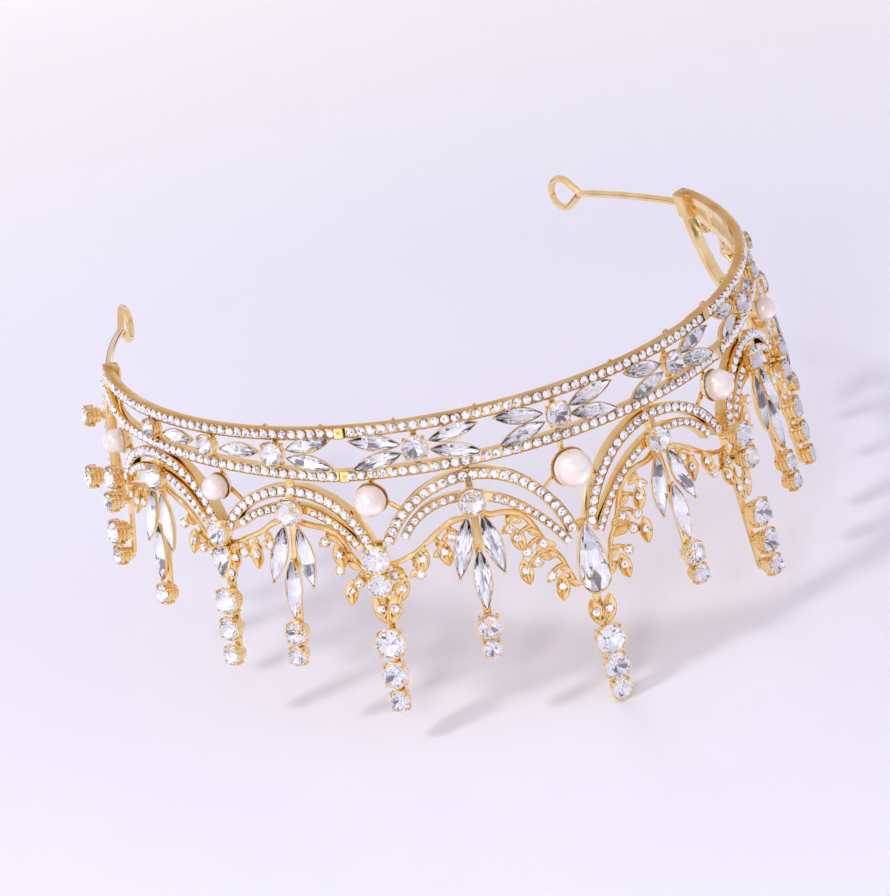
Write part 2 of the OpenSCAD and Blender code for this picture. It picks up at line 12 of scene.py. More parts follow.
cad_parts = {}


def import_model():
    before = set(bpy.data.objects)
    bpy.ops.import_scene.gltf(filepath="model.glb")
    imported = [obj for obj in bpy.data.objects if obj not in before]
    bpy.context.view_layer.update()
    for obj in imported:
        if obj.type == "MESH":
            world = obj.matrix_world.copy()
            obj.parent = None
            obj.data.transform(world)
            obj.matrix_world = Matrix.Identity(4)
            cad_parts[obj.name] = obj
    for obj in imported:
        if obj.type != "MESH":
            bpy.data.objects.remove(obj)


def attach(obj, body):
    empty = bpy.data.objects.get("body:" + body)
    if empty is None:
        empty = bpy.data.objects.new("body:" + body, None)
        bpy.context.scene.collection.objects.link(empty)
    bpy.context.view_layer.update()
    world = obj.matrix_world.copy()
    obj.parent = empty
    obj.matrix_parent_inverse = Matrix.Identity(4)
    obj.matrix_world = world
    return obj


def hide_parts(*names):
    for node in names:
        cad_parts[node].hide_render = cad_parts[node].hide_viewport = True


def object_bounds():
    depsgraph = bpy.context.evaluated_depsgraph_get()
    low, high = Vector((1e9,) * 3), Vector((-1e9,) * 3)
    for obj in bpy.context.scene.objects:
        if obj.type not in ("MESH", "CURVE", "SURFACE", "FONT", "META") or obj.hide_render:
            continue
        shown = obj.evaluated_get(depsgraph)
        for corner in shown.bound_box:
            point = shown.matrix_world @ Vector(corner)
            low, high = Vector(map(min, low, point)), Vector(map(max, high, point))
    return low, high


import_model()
cad_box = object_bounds()

MM = 0.001
rng = np.random.default_rng(11)

# ---- Dimensions, the same as the CAD part's ------------------------------------------------
BASE_RADIUS = 73.0
FLARE = math.radians(10.8)
END_ANGLE = 97.0
PANEL_HALF = 33.5
STRIP_W = 2.4
STRIP_D = 2.2
ROW2_HEIGHT = 10.0
ROW2_DROP = 2.6
ARCH_D = 3.0
INNER_CUT = 0.6
INNER_W = 1.9
PAVE_PITCH, PAVE_D = 2.07, 1.95
INNER_PITCH, INNER_D = 1.75, 1.5
BASKET_DEEP = 3.2
FACE_O = 1.2
WIRE_D = 1.8
CUSPS = [0, 30, 56, 84.5]
SPRAYS = [15.3, 43, 70.5]

# each leg of an arch: reach in degrees, rise, slope height of its end
ARCH_APEX = [13, 12.9, 10]
ARCH_IN = [(14.6, 23.8, 29.5), (12.2, 17.5, 26), (14, 17.5, 21.5)]
ARCH_OUT = [(14.2, 18, 24.5), (12.6, 14, 22), (13, 14, 20.5)]
INNER_SHIFT = [2.2, 0, 0]
INNER_APEX = [17.1, 16.4, 13.6]
INNER_IN = [(19.5, 39.5, 31.6), (14, 28, 25), (14.5, 22, 21.4)]
INNER_OUT = [(9.5, 12, 23.8), (13, 14, 20.8), (12, 10, 18.2)]

BAND_ROUNDS = [(0, 5), (22.2, 5), (44.8, 5), (57.4, 4.2), (71.2, 3.8)]
RUNGS = {"centre": [-22.2, 0, 22.2], "side": [44.8, 57.4, 71.2, 87]}
PAIR = (9.9, 3.0)
PAIR_TURN, PAIR_START = 11.5, 2.9
PAIR_ROOTS = [(0, 1), (22.2, -1), (22.2, 1), (44.8, -1)]
SINGLE = (9.2, 2.9)
SINGLES = [51.1, 64.4]

PEARL_V = [16.6, 15, 13.2, 12.3]
PEARL_DS = [7.6, 6.4, 5.4, 5.4]
PEARL_SEAT = -1.2
STRUT_TURN = 65
# round crystals: slope height, diameter, distance out
TIPS = [
    [(53.6, 6.2, 1.2), (59.4, 5.3, 1.2), (64.4, 4.3, 1.2)],
    [(44.4, 6.0, 3), (51.1, 5.2, 3), (56.8, 4.3, 2.8)],
    [(38, 5.4, 1.2), (44.1, 4.8, 1.2), (50, 4.0, 1.2)],
    [(33.4, 5.4, 2.7), (39, 4.0, 2.2)],
]
HEADS = [[], [(26.4, 5.4, 4.2), (31.7, 4.5, 4.2)], [(22.8, 5, 2)], [(20.6, 5, 2.7), (26.2, 4.2, 3.4)]]
PEARS = [[(28, 15, 6.2)], [], [(32.3, -6.6, 4.4)], []]
LEAF = (6, 2.9)
LEAF_ROOTS = [50.3, 40.8, 34.4]
STEM_W, STEM_BACK, BAR_T = 1.6, -2.0, 1.0
RUNG_W, ARCH_TAB_W = 1.2, 1.8
STEM_FROM = [28, 24, 20.5, 18.4]
POSTED = [(96.2, 11.8, 4.2, 4.2), (92, 24, 5, 4.8)]

SPRAY_V = [18.3, 17.1, 14.9]
SPRAY_LEAN = [3, 4, 0]
SPRAY_ROUND_D = 5.4
SPRAY_TIPS = [[(44.2, 4.7), (48.9, 3.9)], [(43, 4.6), (47.9, 3.9)], [(41.3, 4.3)]]
MARQUISE = (12.6, 3.5)
SIDE_TURN = 13.5

# vines: places are (degrees from the spray, slope height), and a turn for leaves
VINE_O = -1.2
IN_LINE = [
    [(0, 20.6), (2, 22), (4, 22.2), (5.9, 22.9), (7.3, 24.4), (8.3, 26.9), (9.2, 29.7), (10.3, 32.5),
     (11.3, 34.6), (11.9, 37.2), (12.7, 41)],
    [(0, 19.4), (2.8, 20.3), (5, 21), (6.8, 22.6), (7.8, 24.6), (8.6, 27), (10, 29.4), (12.2, 31.4)],
    [(0, 17), (2.4, 18.2), (5, 19.6), (7.4, 21.6), (9.6, 24.2), (11.4, 26), (14, 27.2)],
]
OUT_LINE = [
    [(0, 20.6), (1.6, 21.7), (3.4, 21.9), (5.5, 23.4), (7.8, 25.6), (10, 27.6), (12.6, 28.8), (14.6, 29)],
    [(0, 19.4), (2.4, 19.4), (4.4, 20.6), (6.1, 22.2), (8.4, 23.6), (10.6, 24.9), (12.8, 25.6)],
    [(0, 17), (2.4, 18), (5, 19.2), (8, 20.2), (11, 21.4), (13.8, 22.8)],
]
IN_BUDS = [
    [(4.6, 25.6), (9, 30.2), (6.4, 31), (7.7, 33.6), (9.2, 37.3)],
    [(5, 23.4), (6.7, 29.4), (9.4, 32.2)],
    [(6.2, 23.2), (10.2, 27.4)],
]
IN_LEAVES = [
    [(5.5, 28, 14), (5.7, 35, 6), (10.4, 40.2, -8)],
    [(7, 26.4, 10), (8, 34, -6)],
    [(8.2, 26.6, -6)],
]
OUT_BUDS = [
    [(3.8, 24.6), (9.2, 31.4), (13, 31)],
    [(4.2, 24.4), (9, 26.6)],
    [(5.2, 22.6), (9.9, 22.8)],
]
OUT_LEAVES = [
    [(5.2, 27.8, -10), (8.6, 28.6, 12), (12.2, 34.2, 24)],
    [(6.8, 27, -6), (11, 28.4, 10)],
    [(7.6, 23.6, 8)],
]
VINE_LEAF = (5.4, 2.7)
LOOP_ANGLES = [12, 25, 37, 47]
LOOP_R = 1.2


# ---- Places --------------------------------------------------------------------------------
def rad(v):
    return BASE_RADIUS + v * math.sin(FLARE)


def on(th, v, o=0.0):
    """The point at an angle, a slope height and a distance out."""
    a = math.radians(th)
    r = rad(v) + o * math.cos(FLARE)
    return np.array([-r * math.sin(a), -r * math.cos(a), v * math.cos(FLARE) - o * math.sin(FLARE)])


def to_deg(mm, v):
    return math.degrees(mm / rad(v))


def to_mm(deg, v):
    return math.radians(deg) * rad(v)


def row2_v(th):
    """Slope height of the band's second strip, which comes down towards the ends."""
    t = abs(th)
    x = min(1, max(0, (t - 36) / 45))
    e = max(0, (t - 81) / 14)
    return ROW2_HEIGHT - ROW2_DROP * x * (2 - x) - 3 * e**1.5


def middle_v(th):
    return (row2_v(th) + STRIP_W / 2) / 2


def seat(th, v, o=0.0, turn=0.0, side=1):
    """Axes and origin on the crown: x to the right seen from outside, y up the slope, z outward."""
    a, t = math.radians(th), math.radians(turn)
    radial = np.array([-math.sin(a), -math.cos(a), 0.0])
    up = radial * math.sin(FLARE) + np.array([0, 0, math.cos(FLARE)])
    out = radial * math.cos(FLARE) - np.array([0, 0, math.sin(FLARE)])
    right = np.array([math.cos(a), -math.sin(a), 0.0])
    axes = np.stack([right * math.cos(t) + up * math.sin(t), up * math.cos(t) - right * math.sin(t), out], 1)
    origin = on(th, v, o)
    flip = np.diag([side, 1.0, 1.0])
    return flip @ axes, flip @ origin


def moved(place, x=0.0, y=0.0, z=0.0, turn=0.0):
    """A place shifted along its own axes, then turned about its outward axis."""
    axes, origin = place
    t = math.radians(turn)
    spin = np.array([[math.cos(t), -math.sin(t), 0], [math.sin(t), math.cos(t), 0], [0, 0, 1.0]])
    return axes @ spin, origin + axes @ np.array([x, y, z])


def world(side=1):
    return np.diag([side, 1.0, 1.0]), np.zeros(3)


# ---- Meshes --------------------------------------------------------------------------------
class Piece:
    """Collects shapes, each (points, faces, smooth), into one mesh."""

    def __init__(self):
        self.points, self.faces, self.smooth, self.tones, self.count = [], [], [], [], 0

    def add(self, shape, place, tones=None):
        points, faces, smooth = shape
        axes, origin = place
        self.points.append(np.asarray(points, float) @ axes.T + origin)
        turned = np.linalg.det(axes) < 0
        for i, f in enumerate(faces):
            f = [k + self.count for k in f]
            self.faces.append(f[::-1] if turned else f)
            self.smooth.append(smooth)
            self.tones.append(1.0 if tones is None else float(tones[i]))
        self.count += len(points)

    def make(self, name, material, nodes=(), slot="gold", sharp=38):
        mesh = bpy.data.meshes.new(name)
        points = np.concatenate(self.points) * MM
        mesh.from_pydata(points.tolist(), [], self.faces)
        mesh.polygons.foreach_set("use_smooth", self.smooth)
        # each face's painted-sparkle level, which the crystal materials turn into dark or bright painted reflections
        tone = mesh.attributes.new("tone", "FLOAT", "FACE")
        tone.data.foreach_set("value", np.array(self.tones, np.float32))
        if any(self.smooth):
            mesh.set_sharp_from_angle(angle=math.radians(sharp))
        mesh.materials.append(material)
        mesh.update()
        obj = bpy.data.objects.new(name, mesh)
        bpy.context.scene.collection.objects.link(obj)
        obj.visible_shadow = material is not GLASS  # light reaches the foil behind each crystal
        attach(obj, "root")
        if nodes:
            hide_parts(*nodes)
        return obj


def rings_shape(rings, smooth=True, start_cap=True, end_cap=True):
    """A skin through rings of equally many points, counter-clockwise about the way they go."""
    n, k = len(rings[0]), len(rings)
    faces = [[i * n + j, i * n + (j + 1) % n, (i + 1) * n + (j + 1) % n, (i + 1) * n + j]
             for i in range(k - 1) for j in range(n)]
    if start_cap:
        faces.append([j for j in range(n - 1, -1, -1)])
    if end_cap:
        faces.append([(k - 1) * n + j for j in range(n)])
    return np.concatenate([np.asarray(r, float) for r in rings]), faces, smooth


def lathe(profile, n=20, start=0.0):
    """A turned shape about z through (radius, height) points, from bottom to top."""
    angles = [start + 2 * math.pi * j / n for j in range(n)]
    return rings_shape([[(r * math.cos(a), r * math.sin(a), z) for a in angles] for r, z in profile])


def tube(points, radii, n=8, flat=1.0, normal=None):
    """A round or flattened rod along points; flat squeezes it along the normal."""
    points = [np.asarray(p, float) for p in points]
    if np.isscalar(radii):
        radii = [radii] * len(points)
    rings, side = [], None
    for i, p in enumerate(points):
        ahead = points[min(i + 1, len(points) - 1)] - points[max(i - 1, 0)]
        ahead = ahead / np.linalg.norm(ahead)
        if side is None:
            upright = [0, 0, 1] if abs(ahead[2]) < 0.9 else [1, 0, 0]
            side = np.cross(np.array(upright if normal is None else normal, float), ahead)
        side = side - ahead * (side @ ahead)
        side = side / np.linalg.norm(side)
        other = np.cross(ahead, side)
        rings.append([p + radii[i] * (math.cos(a) * side + flat * math.sin(a) * other)
                      for a in (2 * math.pi * j / n for j in range(n))])
    return rings_shape(rings)


def bead(r, n=8):
    """A small ball of metal."""
    steps = 4
    return lathe([(r * math.sin(math.pi * i / steps) + 1e-4, -r * math.cos(math.pi * i / steps))
                  for i in range(steps + 1)], n)


def bar(w, l, h, cut=0.18):
    """A bar with cut edges, its near end's middle at the origin: w wide, l long up y, h thick up z."""
    rings = []
    for y, c in ((0, cut), (cut, 0), (l - cut, 0), (l, cut)):
        a, b = w / 2 - c, h / 2 - c
        rings.append([(x, y, z + h / 2) for x, z in
                      ((-a, -b + cut), (-a + cut, -b), (a - cut, -b), (a, -b + cut),
                       (a, b - cut), (a - cut, b), (-a + cut, b), (-a, b - cut))][::-1])
    return rings_shape(rings)


# ---- Paths along the crown -----------------------------------------------------------------
def span(a, b, step):
    count = max(1, math.ceil((b - a) / step))
    return [a + (b - a) * i / count for i in range(count + 1)]


def row1_path(a, b, step=1.0):
    return [(th, STRIP_W / 2) for th in span(a, b, step)]


def row2_path(a, b, step=1.0):
    return [(th, row2_v(th)) for th in span(a, b, step)]


def leg(th, v, side, reach, rise, end, steps=16):
    """One leg of an arch: part of an ellipse from its apex to a slope height."""
    last = math.acos(1 - (end - v) / rise)
    return [(th + side * reach * math.sin(last * i / steps), v + rise * (1 - math.cos(last * i / steps)))
            for i in range(steps + 1)]


def arch(th, v, l_in, l_out):
    return leg(th, v, -1, *l_in)[:0:-1] + leg(th, v, 1, *l_out)


def outer_arch(j):
    return arch(SPRAYS[j], ARCH_APEX[j], ARCH_IN[j], ARCH_OUT[j])


def inner_arch(j):
    return arch(SPRAYS[j] + INNER_SHIFT[j], INNER_APEX[j], INNER_IN[j], INNER_OUT[j])


END_ARCH = [(86 + 11 * math.cos(math.radians(t)), 3.5 + 25 * math.sin(math.radians(t)))
            for t in range(0, 81, 4)]


def lengths(path):
    return [math.hypot(to_mm(b[0] - a[0], (a[1] + b[1]) / 2), b[1] - a[1]) for a, b in zip(path, path[1:])]


def walk(path, step, inset=0.3):
    """Points at equal steps along a path, with its heading there in degrees from x."""
    sums = np.concatenate([[0], np.cumsum(lengths(path))])
    total = sums[-1] - 2 * inset
    count = int(total // step)
    start = inset + (total - count * step) / 2
    found = []
    for c in range(count + 1):
        s = start + c * step
        i = min(len(path) - 2, int(np.searchsorted(sums, s, side="right")) - 1)
        f = (s - sums[i]) / (sums[i + 1] - sums[i])
        a, b = path[i], path[i + 1]
        heading = math.degrees(math.atan2(b[1] - a[1], -to_mm(b[0] - a[0], a[1])))
        found.append((a[0] + (b[0] - a[0]) * f, a[1] + (b[1] - a[1]) * f, heading))
    return found


def channel(w, d, floor=-0.36, lip=0.2, cut=0.22):
    """Outline across a stone-set strip: thin lips each side of a sunk floor, a cut back."""
    h = w / 2
    half = [(h - cut, -d), (h, -d + cut), (h, -0.16), (h - 0.07, 0.0), (h - lip + 0.04, 0.02), (h - lip, -0.08),
            (h - lip - 0.02, floor)]
    return half + [(-s, o) for s, o in half[::-1]]


def strip(path, outline):
    """The outline swept along a path on the crown."""
    rings = []
    for i, (th, v) in enumerate(path):
        a, b = path[max(0, i - 1)], path[min(len(path) - 1, i + 1)]
        h = np.array([to_mm(b[0] - a[0], v), b[1] - a[1]])
        h = h / np.linalg.norm(h)
        rings.append([on(th + to_deg(-h[1] * s, v), v + h[0] * s, o) for s, o in outline])
    return rings_shape(rings)


# ---- Crystals ------------------------------------------------------------------------------
# Levels of painted sparkle: a crystal facet's brightness stands in for the light or dark it reflects.
SPARKLE_LEVELS = [0.1, 0.5, 0.8, 1.0]


def round_outline(d):
    def at(u, sx=1.0, sy=1.0):
        a = 2 * math.pi * u
        return d / 2 * sx * math.sin(a), d / 2 * sy * math.cos(a)
    return at


def lens_outline(l, w):
    """Two arcs with pointed ends; the middle is at the origin."""
    r = (l * l + w * w) / (4 * w)

    def at(u, sx=1.0, sy=1.0):
        a = 2 * math.pi * u
        y = l / 2 * math.cos(a)
        x = (math.sqrt(r * r - y * y) - (r - w / 2)) * (1 if a < math.pi else -1)
        return x * sx, y * sy
    return at


def pear_outline(l, w):
    """A pointed foot at -y with bowed flanks and a round head; the middle is near the origin."""
    r = w / 2
    c = l - r

    def at(u, sx=1.0, sy=1.0):
        a = 2 * math.pi * u
        y = l / 2 * (1 + math.cos(a))
        x = r * (1 - (1 - y / c) ** 1.8) if y < c else math.sqrt(max(0, r * r - (y - c) ** 2))
        return x * sx * (1 if a < math.pi else -1), (y - 0.56 * l) * sy
    return at


def brilliant(outline, h, deep, table=0.55, keel=0.0, n=8):
    """Crown and pavilion of a cut crystal whose girdle is at z = 0. Returns the glass and its foil back."""
    girdle = [outline(i / (2 * n)) for i in range(2 * n)]
    middle = [outline((i + 0.5) / n, 0.82, 0.84) for i in range(n)]
    top = [outline(i / n, table, table + 0.06) for i in range(n)]
    low = [outline((i + 0.5) / n, 0.5, 0.5 + keel * 0.4) for i in range(n)]
    foot = [outline(i / n, 0.05, 0.05 + keel) for i in range(n)]
    points = ([(x, y, 0.07) for x, y in girdle] + [(x, y, -0.07) for x, y in girdle]
              + [(x, y, h * 0.62) for x, y in middle] + [(x, y, h) for x, y in top]
              + [(x, y, -deep * 0.62) for x, y in low] + [(x, y, -deep) for x, y in foot])
    g, b, m, t, p, k = 0, 2 * n, 4 * n, 5 * n, 6 * n, 7 * n
    crown, under = [list(range(t + n - 1, t - 1, -1))], []
    for i in range(n):
        j, before = (i + 1) % n, (i - 1) % n
        g0, g1, g2 = 2 * i, 2 * i + 1, (2 * i + 2) % (2 * n)
        crown += [[t + j, t + i, m + i], [m + before, t + i, m + i, g + g0],
                  [m + i, g + g0, g + g1], [m + i, g + g1, g + g2],
                  [g + g0, g + g1, b + g1, b + g0], [g + g1, g + g2, b + g2, b + g1]]
        under += [[p + before, b + g0, p + i, k + i], [p + i, b + g0, b + g1], [p + i, b + g1, b + g2],
                  [p + i, k + j, k + i]]
    under.append([k + i for i in range(n)])
    return points, crown, under


def outward(points, faces, middle):
    """The faces with their normals pointing away from the middle."""
    points = np.asarray(points, float)
    fixed = []
    for f in faces:
        c = points[f].mean(0)
        normal = np.zeros(3)
        for a, b in zip(f, f[1:] + f[:1]):
            normal += np.cross(points[a] - c, points[b] - c)
        fixed.append(f if normal @ (c - middle) >= 0 else f[::-1])
    return fixed


def crystal(glass, foil, outline, place, h, deep, table=0.55, keel=0.0):
    """A cut crystal and the foil that lines its back."""
    points, crown, under = brilliant(outline, h, deep, table, keel)
    middle = np.array([0, 0, -0.05])
    glass.add((points, outward(points, crown + under, middle), False), place)
    backed = np.asarray(points, float) * [1.012, 1.012, 1.0] - [0, 0, 0.03]
    # each foil facet gets a random painted-sparkle level, a painted reflection
    tones = rng.choice(SPARKLE_LEVELS, len(under), p=[0.14, 0.2, 0.3, 0.36])
    foil.add((backed, outward(backed, under, middle), False), place, tones)


def chip(piece, d, place, h=0.42):
    """A small stone for the strips and leaves: eight-sided, with a low star of facets on top."""
    n = 8
    turn = rng.uniform(0, 2 * math.pi / n)

    def ring(r, z, shift):
        angles = [turn + 2 * math.pi * (i + shift) / n for i in range(n)]
        return [(r * math.cos(a), r * math.sin(a), z) for a in angles]
    points = ring(d / 2, 0.0, 0) + ring(d * 0.3, h, 0.5) + ring(d * 0.3, -0.34, 0) + [(0, 0, h + 0.05)]
    faces = []
    for i in range(n):
        j = (i + 1) % n
        faces += [[i, j, n + i], [j, n + j, n + i], [2 * n + i, 2 * n + j, j, i], [n + i, n + j, 3 * n]]
    # each facet gets a random painted-sparkle level, a painted reflection
    tones = rng.choice(SPARKLE_LEVELS, len(faces), p=[0.13, 0.2, 0.27, 0.4])
    piece.add((points, outward(points, faces, np.array([0, 0, -0.05])), False), place, tones)


def pave(stones, metal, path, step=PAVE_PITCH, d=PAVE_D, w=STRIP_W, side=1, clear=()):
    """Stones along a strip with beads between them; clear lists (angle, slope height, distance) to leave bare."""
    places = walk(path, step)
    for th, v, _ in places:
        if all(math.hypot(to_mm(th - t, v), v - u) >= far for t, u, far in clear):
            chip(stones, d, seat(th, v, 0.02, side=side))
    ball = bead(0.2, 6)
    for (t0, v0, h0), (t1, v1, _) in zip(places, places[1:]):
        middle = seat((t0 + t1) / 2, (v0 + v1) / 2, 0.06, turn=h0, side=side)
        for s in (-1, 1):
            metal.add(ball, moved(middle, y=s * (w / 2 - 0.24)))


# ---- Settings ------------------------------------------------------------------------------
def boat(outline, rim=0.3, deep=1.6, narrow=0.55, well=None):
    """A setting that follows an outline: rounded flanks, a flat lip and a well of the given depth."""
    well = deep - 0.2 if well is None else well
    n = 28

    def ring(grow, scale, z):
        made = []
        for i in range(n):
            x, y = outline(i / n)
            size = math.hypot(x, y) + 1e-9
            k = scale + grow / size
            made.append((x * k, y * (scale + grow * 1.25 / size), z))
        return made[::-1]
    rings = [ring(0, narrow, -deep), ring(0, narrow + 0.18, -deep + 0.12), ring(rim * 0.4, 0.95, -deep * 0.5),
             ring(rim, 1.0, -0.2), ring(rim, 1.0, 0.04), ring(rim * 0.75, 1.0, 0.12),
             ring(rim * 0.25, 1.0, 0.12), ring(0.02, 1.0, 0.02), ring(0, 0.94, -0.3 * well), ring(0, 0.5, -well)]
    return rings_shape(rings)


def basket(metal, d, place, deep=BASKET_DEEP):
    """A deep ribbed cup with four claws bent over the crystal's edge."""
    foot, top = d * 0.37, d / 2 + 0.2
    profile = [(foot - 0.25, -deep), (foot, -deep + 0.12)]
    ribs = 3
    for i in range(ribs):
        a, b = i / ribs, (i + 1) / ribs
        r0, r1 = foot + (top - foot) * a ** 0.8, foot + (top - foot) * b ** 0.8
        z0, z1 = -deep + 0.15 + (deep - 0.3) * a, -deep + 0.15 + (deep - 0.3) * b
        profile += [(r0 - 0.02, z0 + 0.1), (r1 - 0.06, z1 - 0.42), (r1, z1 - 0.26), (r1, z1 - 0.12),
                    (r1 - 0.16, z1)]
    profile += [(top - 0.02, -0.08), (top - 0.03, 0.02), (d / 2 - 0.01, 0.03), (d * 0.49, -0.3),
                (d * 0.3, -deep * 0.66), (0.2, -deep * 0.74)]
    metal.add(lathe(profile, 24), place)
    r = d / 2
    lift = 0.3 + d * 0.055
    path = [(r + 0.16, 0, -deep * 0.55), (r + 0.2, 0, -0.4), (r + 0.14, 0, lift * 0.5), (r - 0.12, 0, lift),
            (r - 0.12 - d * 0.07, 0, lift + 0.12)]
    claw = tube(path, [0.34, 0.36, 0.3, 0.23, 0.1], 8, normal=(0, 1, 0))
    for a in (45, 135, 225, 315):
        metal.add(claw, moved(place, turn=a))


def post(metal, out, back, place):
    """A waisted post from the depth back up into a basket that stands a distance out."""
    metal.add(lathe([(1.1, back - out), (1.0, back - out + 0.5), (0.85, -BASKET_DEEP - 0.1),
                     (1.0, 0.4 - BASKET_DEEP)], 16), place)


def set_round(metal, glass, foil, d, place, deep=BASKET_DEEP):
    """A round crystal in its basket."""
    basket(metal, d, place, deep)
    crystal(glass, foil, round_outline(d), moved(place, z=0.04, turn=rng.uniform(0, 45)),
            d * 0.2, min(deep * 0.62, d * 0.4))


def leaf_cup(metal, stones, size, place, root=0.45, stone=1.75):
    """A pointed leaf with a raised rim, one small stone in its wide half and a vein in its tip."""
    l, w = size
    middle = moved(place, y=l / 2)
    metal.add(boat(lens_outline(l, w), 0.16, 1.3, 0.4, 0.3), middle)
    chip(stones, stone, moved(place, y=l * root, z=0.0))
    tip = [(0, l * (root + 0.2), -0.05), (0, l * 0.84, 0.05), (0, l * 0.98, 0.05)]
    metal.add(tube(tip, [0.3, 0.24, 0.08], 6), place)
    metal.add(bead(0.24), moved(place, y=l * (root + 0.19), z=0.12))
    metal.add(bead(0.24), moved(place, y=l * (root - 0.19), z=0.12))


# ---- Materials -----------------------------------------------------------------------------
def new_material(name):
    m = bpy.data.materials.new(name)
    m.use_nodes = True
    tree = m.node_tree
    return m, tree.nodes, tree.links, tree.nodes["Principled BSDF"]


def noise_of(nodes, links, scale, detail=3.0, rough=0.55):
    coords = nodes.new("ShaderNodeTexCoord")
    noise = nodes.new("ShaderNodeTexNoise")
    noise.inputs["Scale"].default_value = scale
    noise.inputs["Detail"].default_value = detail
    noise.inputs["Roughness"].default_value = rough
    links.new(coords.outputs["Object"], noise.inputs["Vector"])
    return noise


def ramp_of(nodes, links, source, stops):
    ramp = nodes.new("ShaderNodeValToRGB")
    elements = ramp.color_ramp.elements
    while len(elements) < len(stops):
        elements.new(0.5)
    for e, (at, colour) in zip(elements, stops):
        e.position = at
        e.color = (*colour, 1)
    links.new(source, ramp.inputs["Fac"])
    return ramp


def range_of(nodes, links, source, low, high, start=0.3, end=0.7):
    made = nodes.new("ShaderNodeMapRange")
    for key, value in (("From Min", start), ("From Max", end), ("To Min", low), ("To Max", high)):
        made.inputs[key].default_value = value
    links.new(source, made.inputs["Value"])
    return made


def roughen(nodes, links, shader, source, low, high):
    """Roughness that drifts between low and high."""
    links.new(range_of(nodes, links, source, low, high).outputs["Result"], shader.inputs["Roughness"])


def bump_up(nodes, links, shader, source, strength, distance):
    bump = nodes.new("ShaderNodeBump")
    bump.inputs["Strength"].default_value = strength
    bump.inputs["Distance"].default_value = distance
    links.new(source, bump.inputs["Height"])
    links.new(bump.outputs["Normal"], shader.inputs["Normal"])


def gold(name, light, deep, low=0.1, high=0.24, grain=0.25):
    """Bright gold plate: its colour drifts a little, and fine casting grain breaks up the polish."""
    m, nodes, links, shader = new_material(name)
    shader.inputs["Metallic"].default_value = 1.0
    drift = noise_of(nodes, links, 160, 2)
    links.new(ramp_of(nodes, links, drift.outputs["Fac"], [(0.32, deep), (0.62, light)]).outputs["Color"],
              shader.inputs["Base Color"])
    wear = noise_of(nodes, links, 900, 4, 0.6)
    roughen(nodes, links, shader, wear.outputs["Fac"], low, high)
    fine = noise_of(nodes, links, 2600, 3)
    bump_up(nodes, links, shader, fine.outputs["Fac"], grain, 0.03 * MM)
    return m


def glass_material():
    """Clear lead glass with the faintest haze."""
    m, nodes, links, shader = new_material("crystal_glass")
    shader.inputs["Transmission Weight"].default_value = 1.0
    shader.inputs["IOR"].default_value = 1.56
    tint = noise_of(nodes, links, 120, 2)
    links.new(ramp_of(nodes, links, tint.outputs["Fac"], [(0.3, (0.93, 0.94, 0.98)), (0.7, (1.0, 0.99, 1.0))])
              .outputs["Color"], shader.inputs["Base Color"])
    haze = noise_of(nodes, links, 700, 3)
    roughen(nodes, links, shader, haze.outputs["Fac"], 0.0, 0.03)
    return m


def sparkle_painted_material(name, stops, metallic, low, high, coat):
    """Foil or cut glass whose facets differ: each face's painted-sparkle level picks its colour, from dark to white,
    as painted reflections.
    """
    m, nodes, links, shader = new_material(name)
    tone = nodes.new("ShaderNodeAttribute")
    tone.attribute_name = "tone"
    # painted reflections: the dark and white facet colours stand in for the light or dark each facet would mirror
    ramp = ramp_of(nodes, links, tone.outputs["Fac"], stops)
    cloud = noise_of(nodes, links, 500, 2)
    tint = ramp_of(nodes, links, cloud.outputs["Fac"], [(0.3, (0.93, 0.92, 0.98)), (0.7, (1, 1, 1))])
    mix = nodes.new("ShaderNodeMix")
    mix.data_type = "RGBA"
    mix.blend_type = "MULTIPLY"
    mix.inputs["Factor"].default_value = 1.0
    links.new(ramp.outputs["Color"], mix.inputs["A"])
    links.new(tint.outputs["Color"], mix.inputs["B"])
    links.new(mix.outputs["Result"], shader.inputs["Base Color"])
    roughen(nodes, links, shader, cloud.outputs["Fac"], low, high)
    shader.inputs["Metallic"].default_value = metallic
    shader.inputs["Coat Weight"].default_value = coat
    shader.inputs["Coat Roughness"].default_value = 0.03
    return m


def pearl_material():
    """Creamy nacre with a pink blush and faint growth bands."""
    m, nodes, links, shader = new_material("pearl_nacre")
    cloud = noise_of(nodes, links, 210, 3)
    colour = ramp_of(nodes, links, cloud.outputs["Fac"],
                     [(0.3, (0.82, 0.71, 0.66)), (0.5, (0.89, 0.80, 0.76)), (0.72, (0.93, 0.88, 0.84))])
    links.new(colour.outputs["Color"], shader.inputs["Base Color"])
    shader.inputs["Metallic"].default_value = 0.3
    shader.inputs["Subsurface Weight"].default_value = 0.1
    shader.inputs["Subsurface Radius"].default_value = (0.0016, 0.0011, 0.0009)
    shader.inputs["Subsurface Scale"].default_value = 1.0
    roughen(nodes, links, shader, cloud.outputs["Fac"], 0.22, 0.32)
    shader.inputs["Coat Weight"].default_value = 1.0
    shader.inputs["Coat IOR"].default_value = 1.7
    shader.inputs["Coat Roughness"].default_value = 0.15
    shader.inputs["Sheen Weight"].default_value = 0.15
    bands = nodes.new("ShaderNodeTexWave")
    bands.inputs["Scale"].default_value = 420
    bands.inputs["Distortion"].default_value = 6
    coords = nodes.new("ShaderNodeTexCoord")
    links.new(coords.outputs["Object"], bands.inputs["Vector"])
    bump_up(nodes, links, shader, bands.outputs["Fac"], 0.05, 0.04 * MM)
    return m


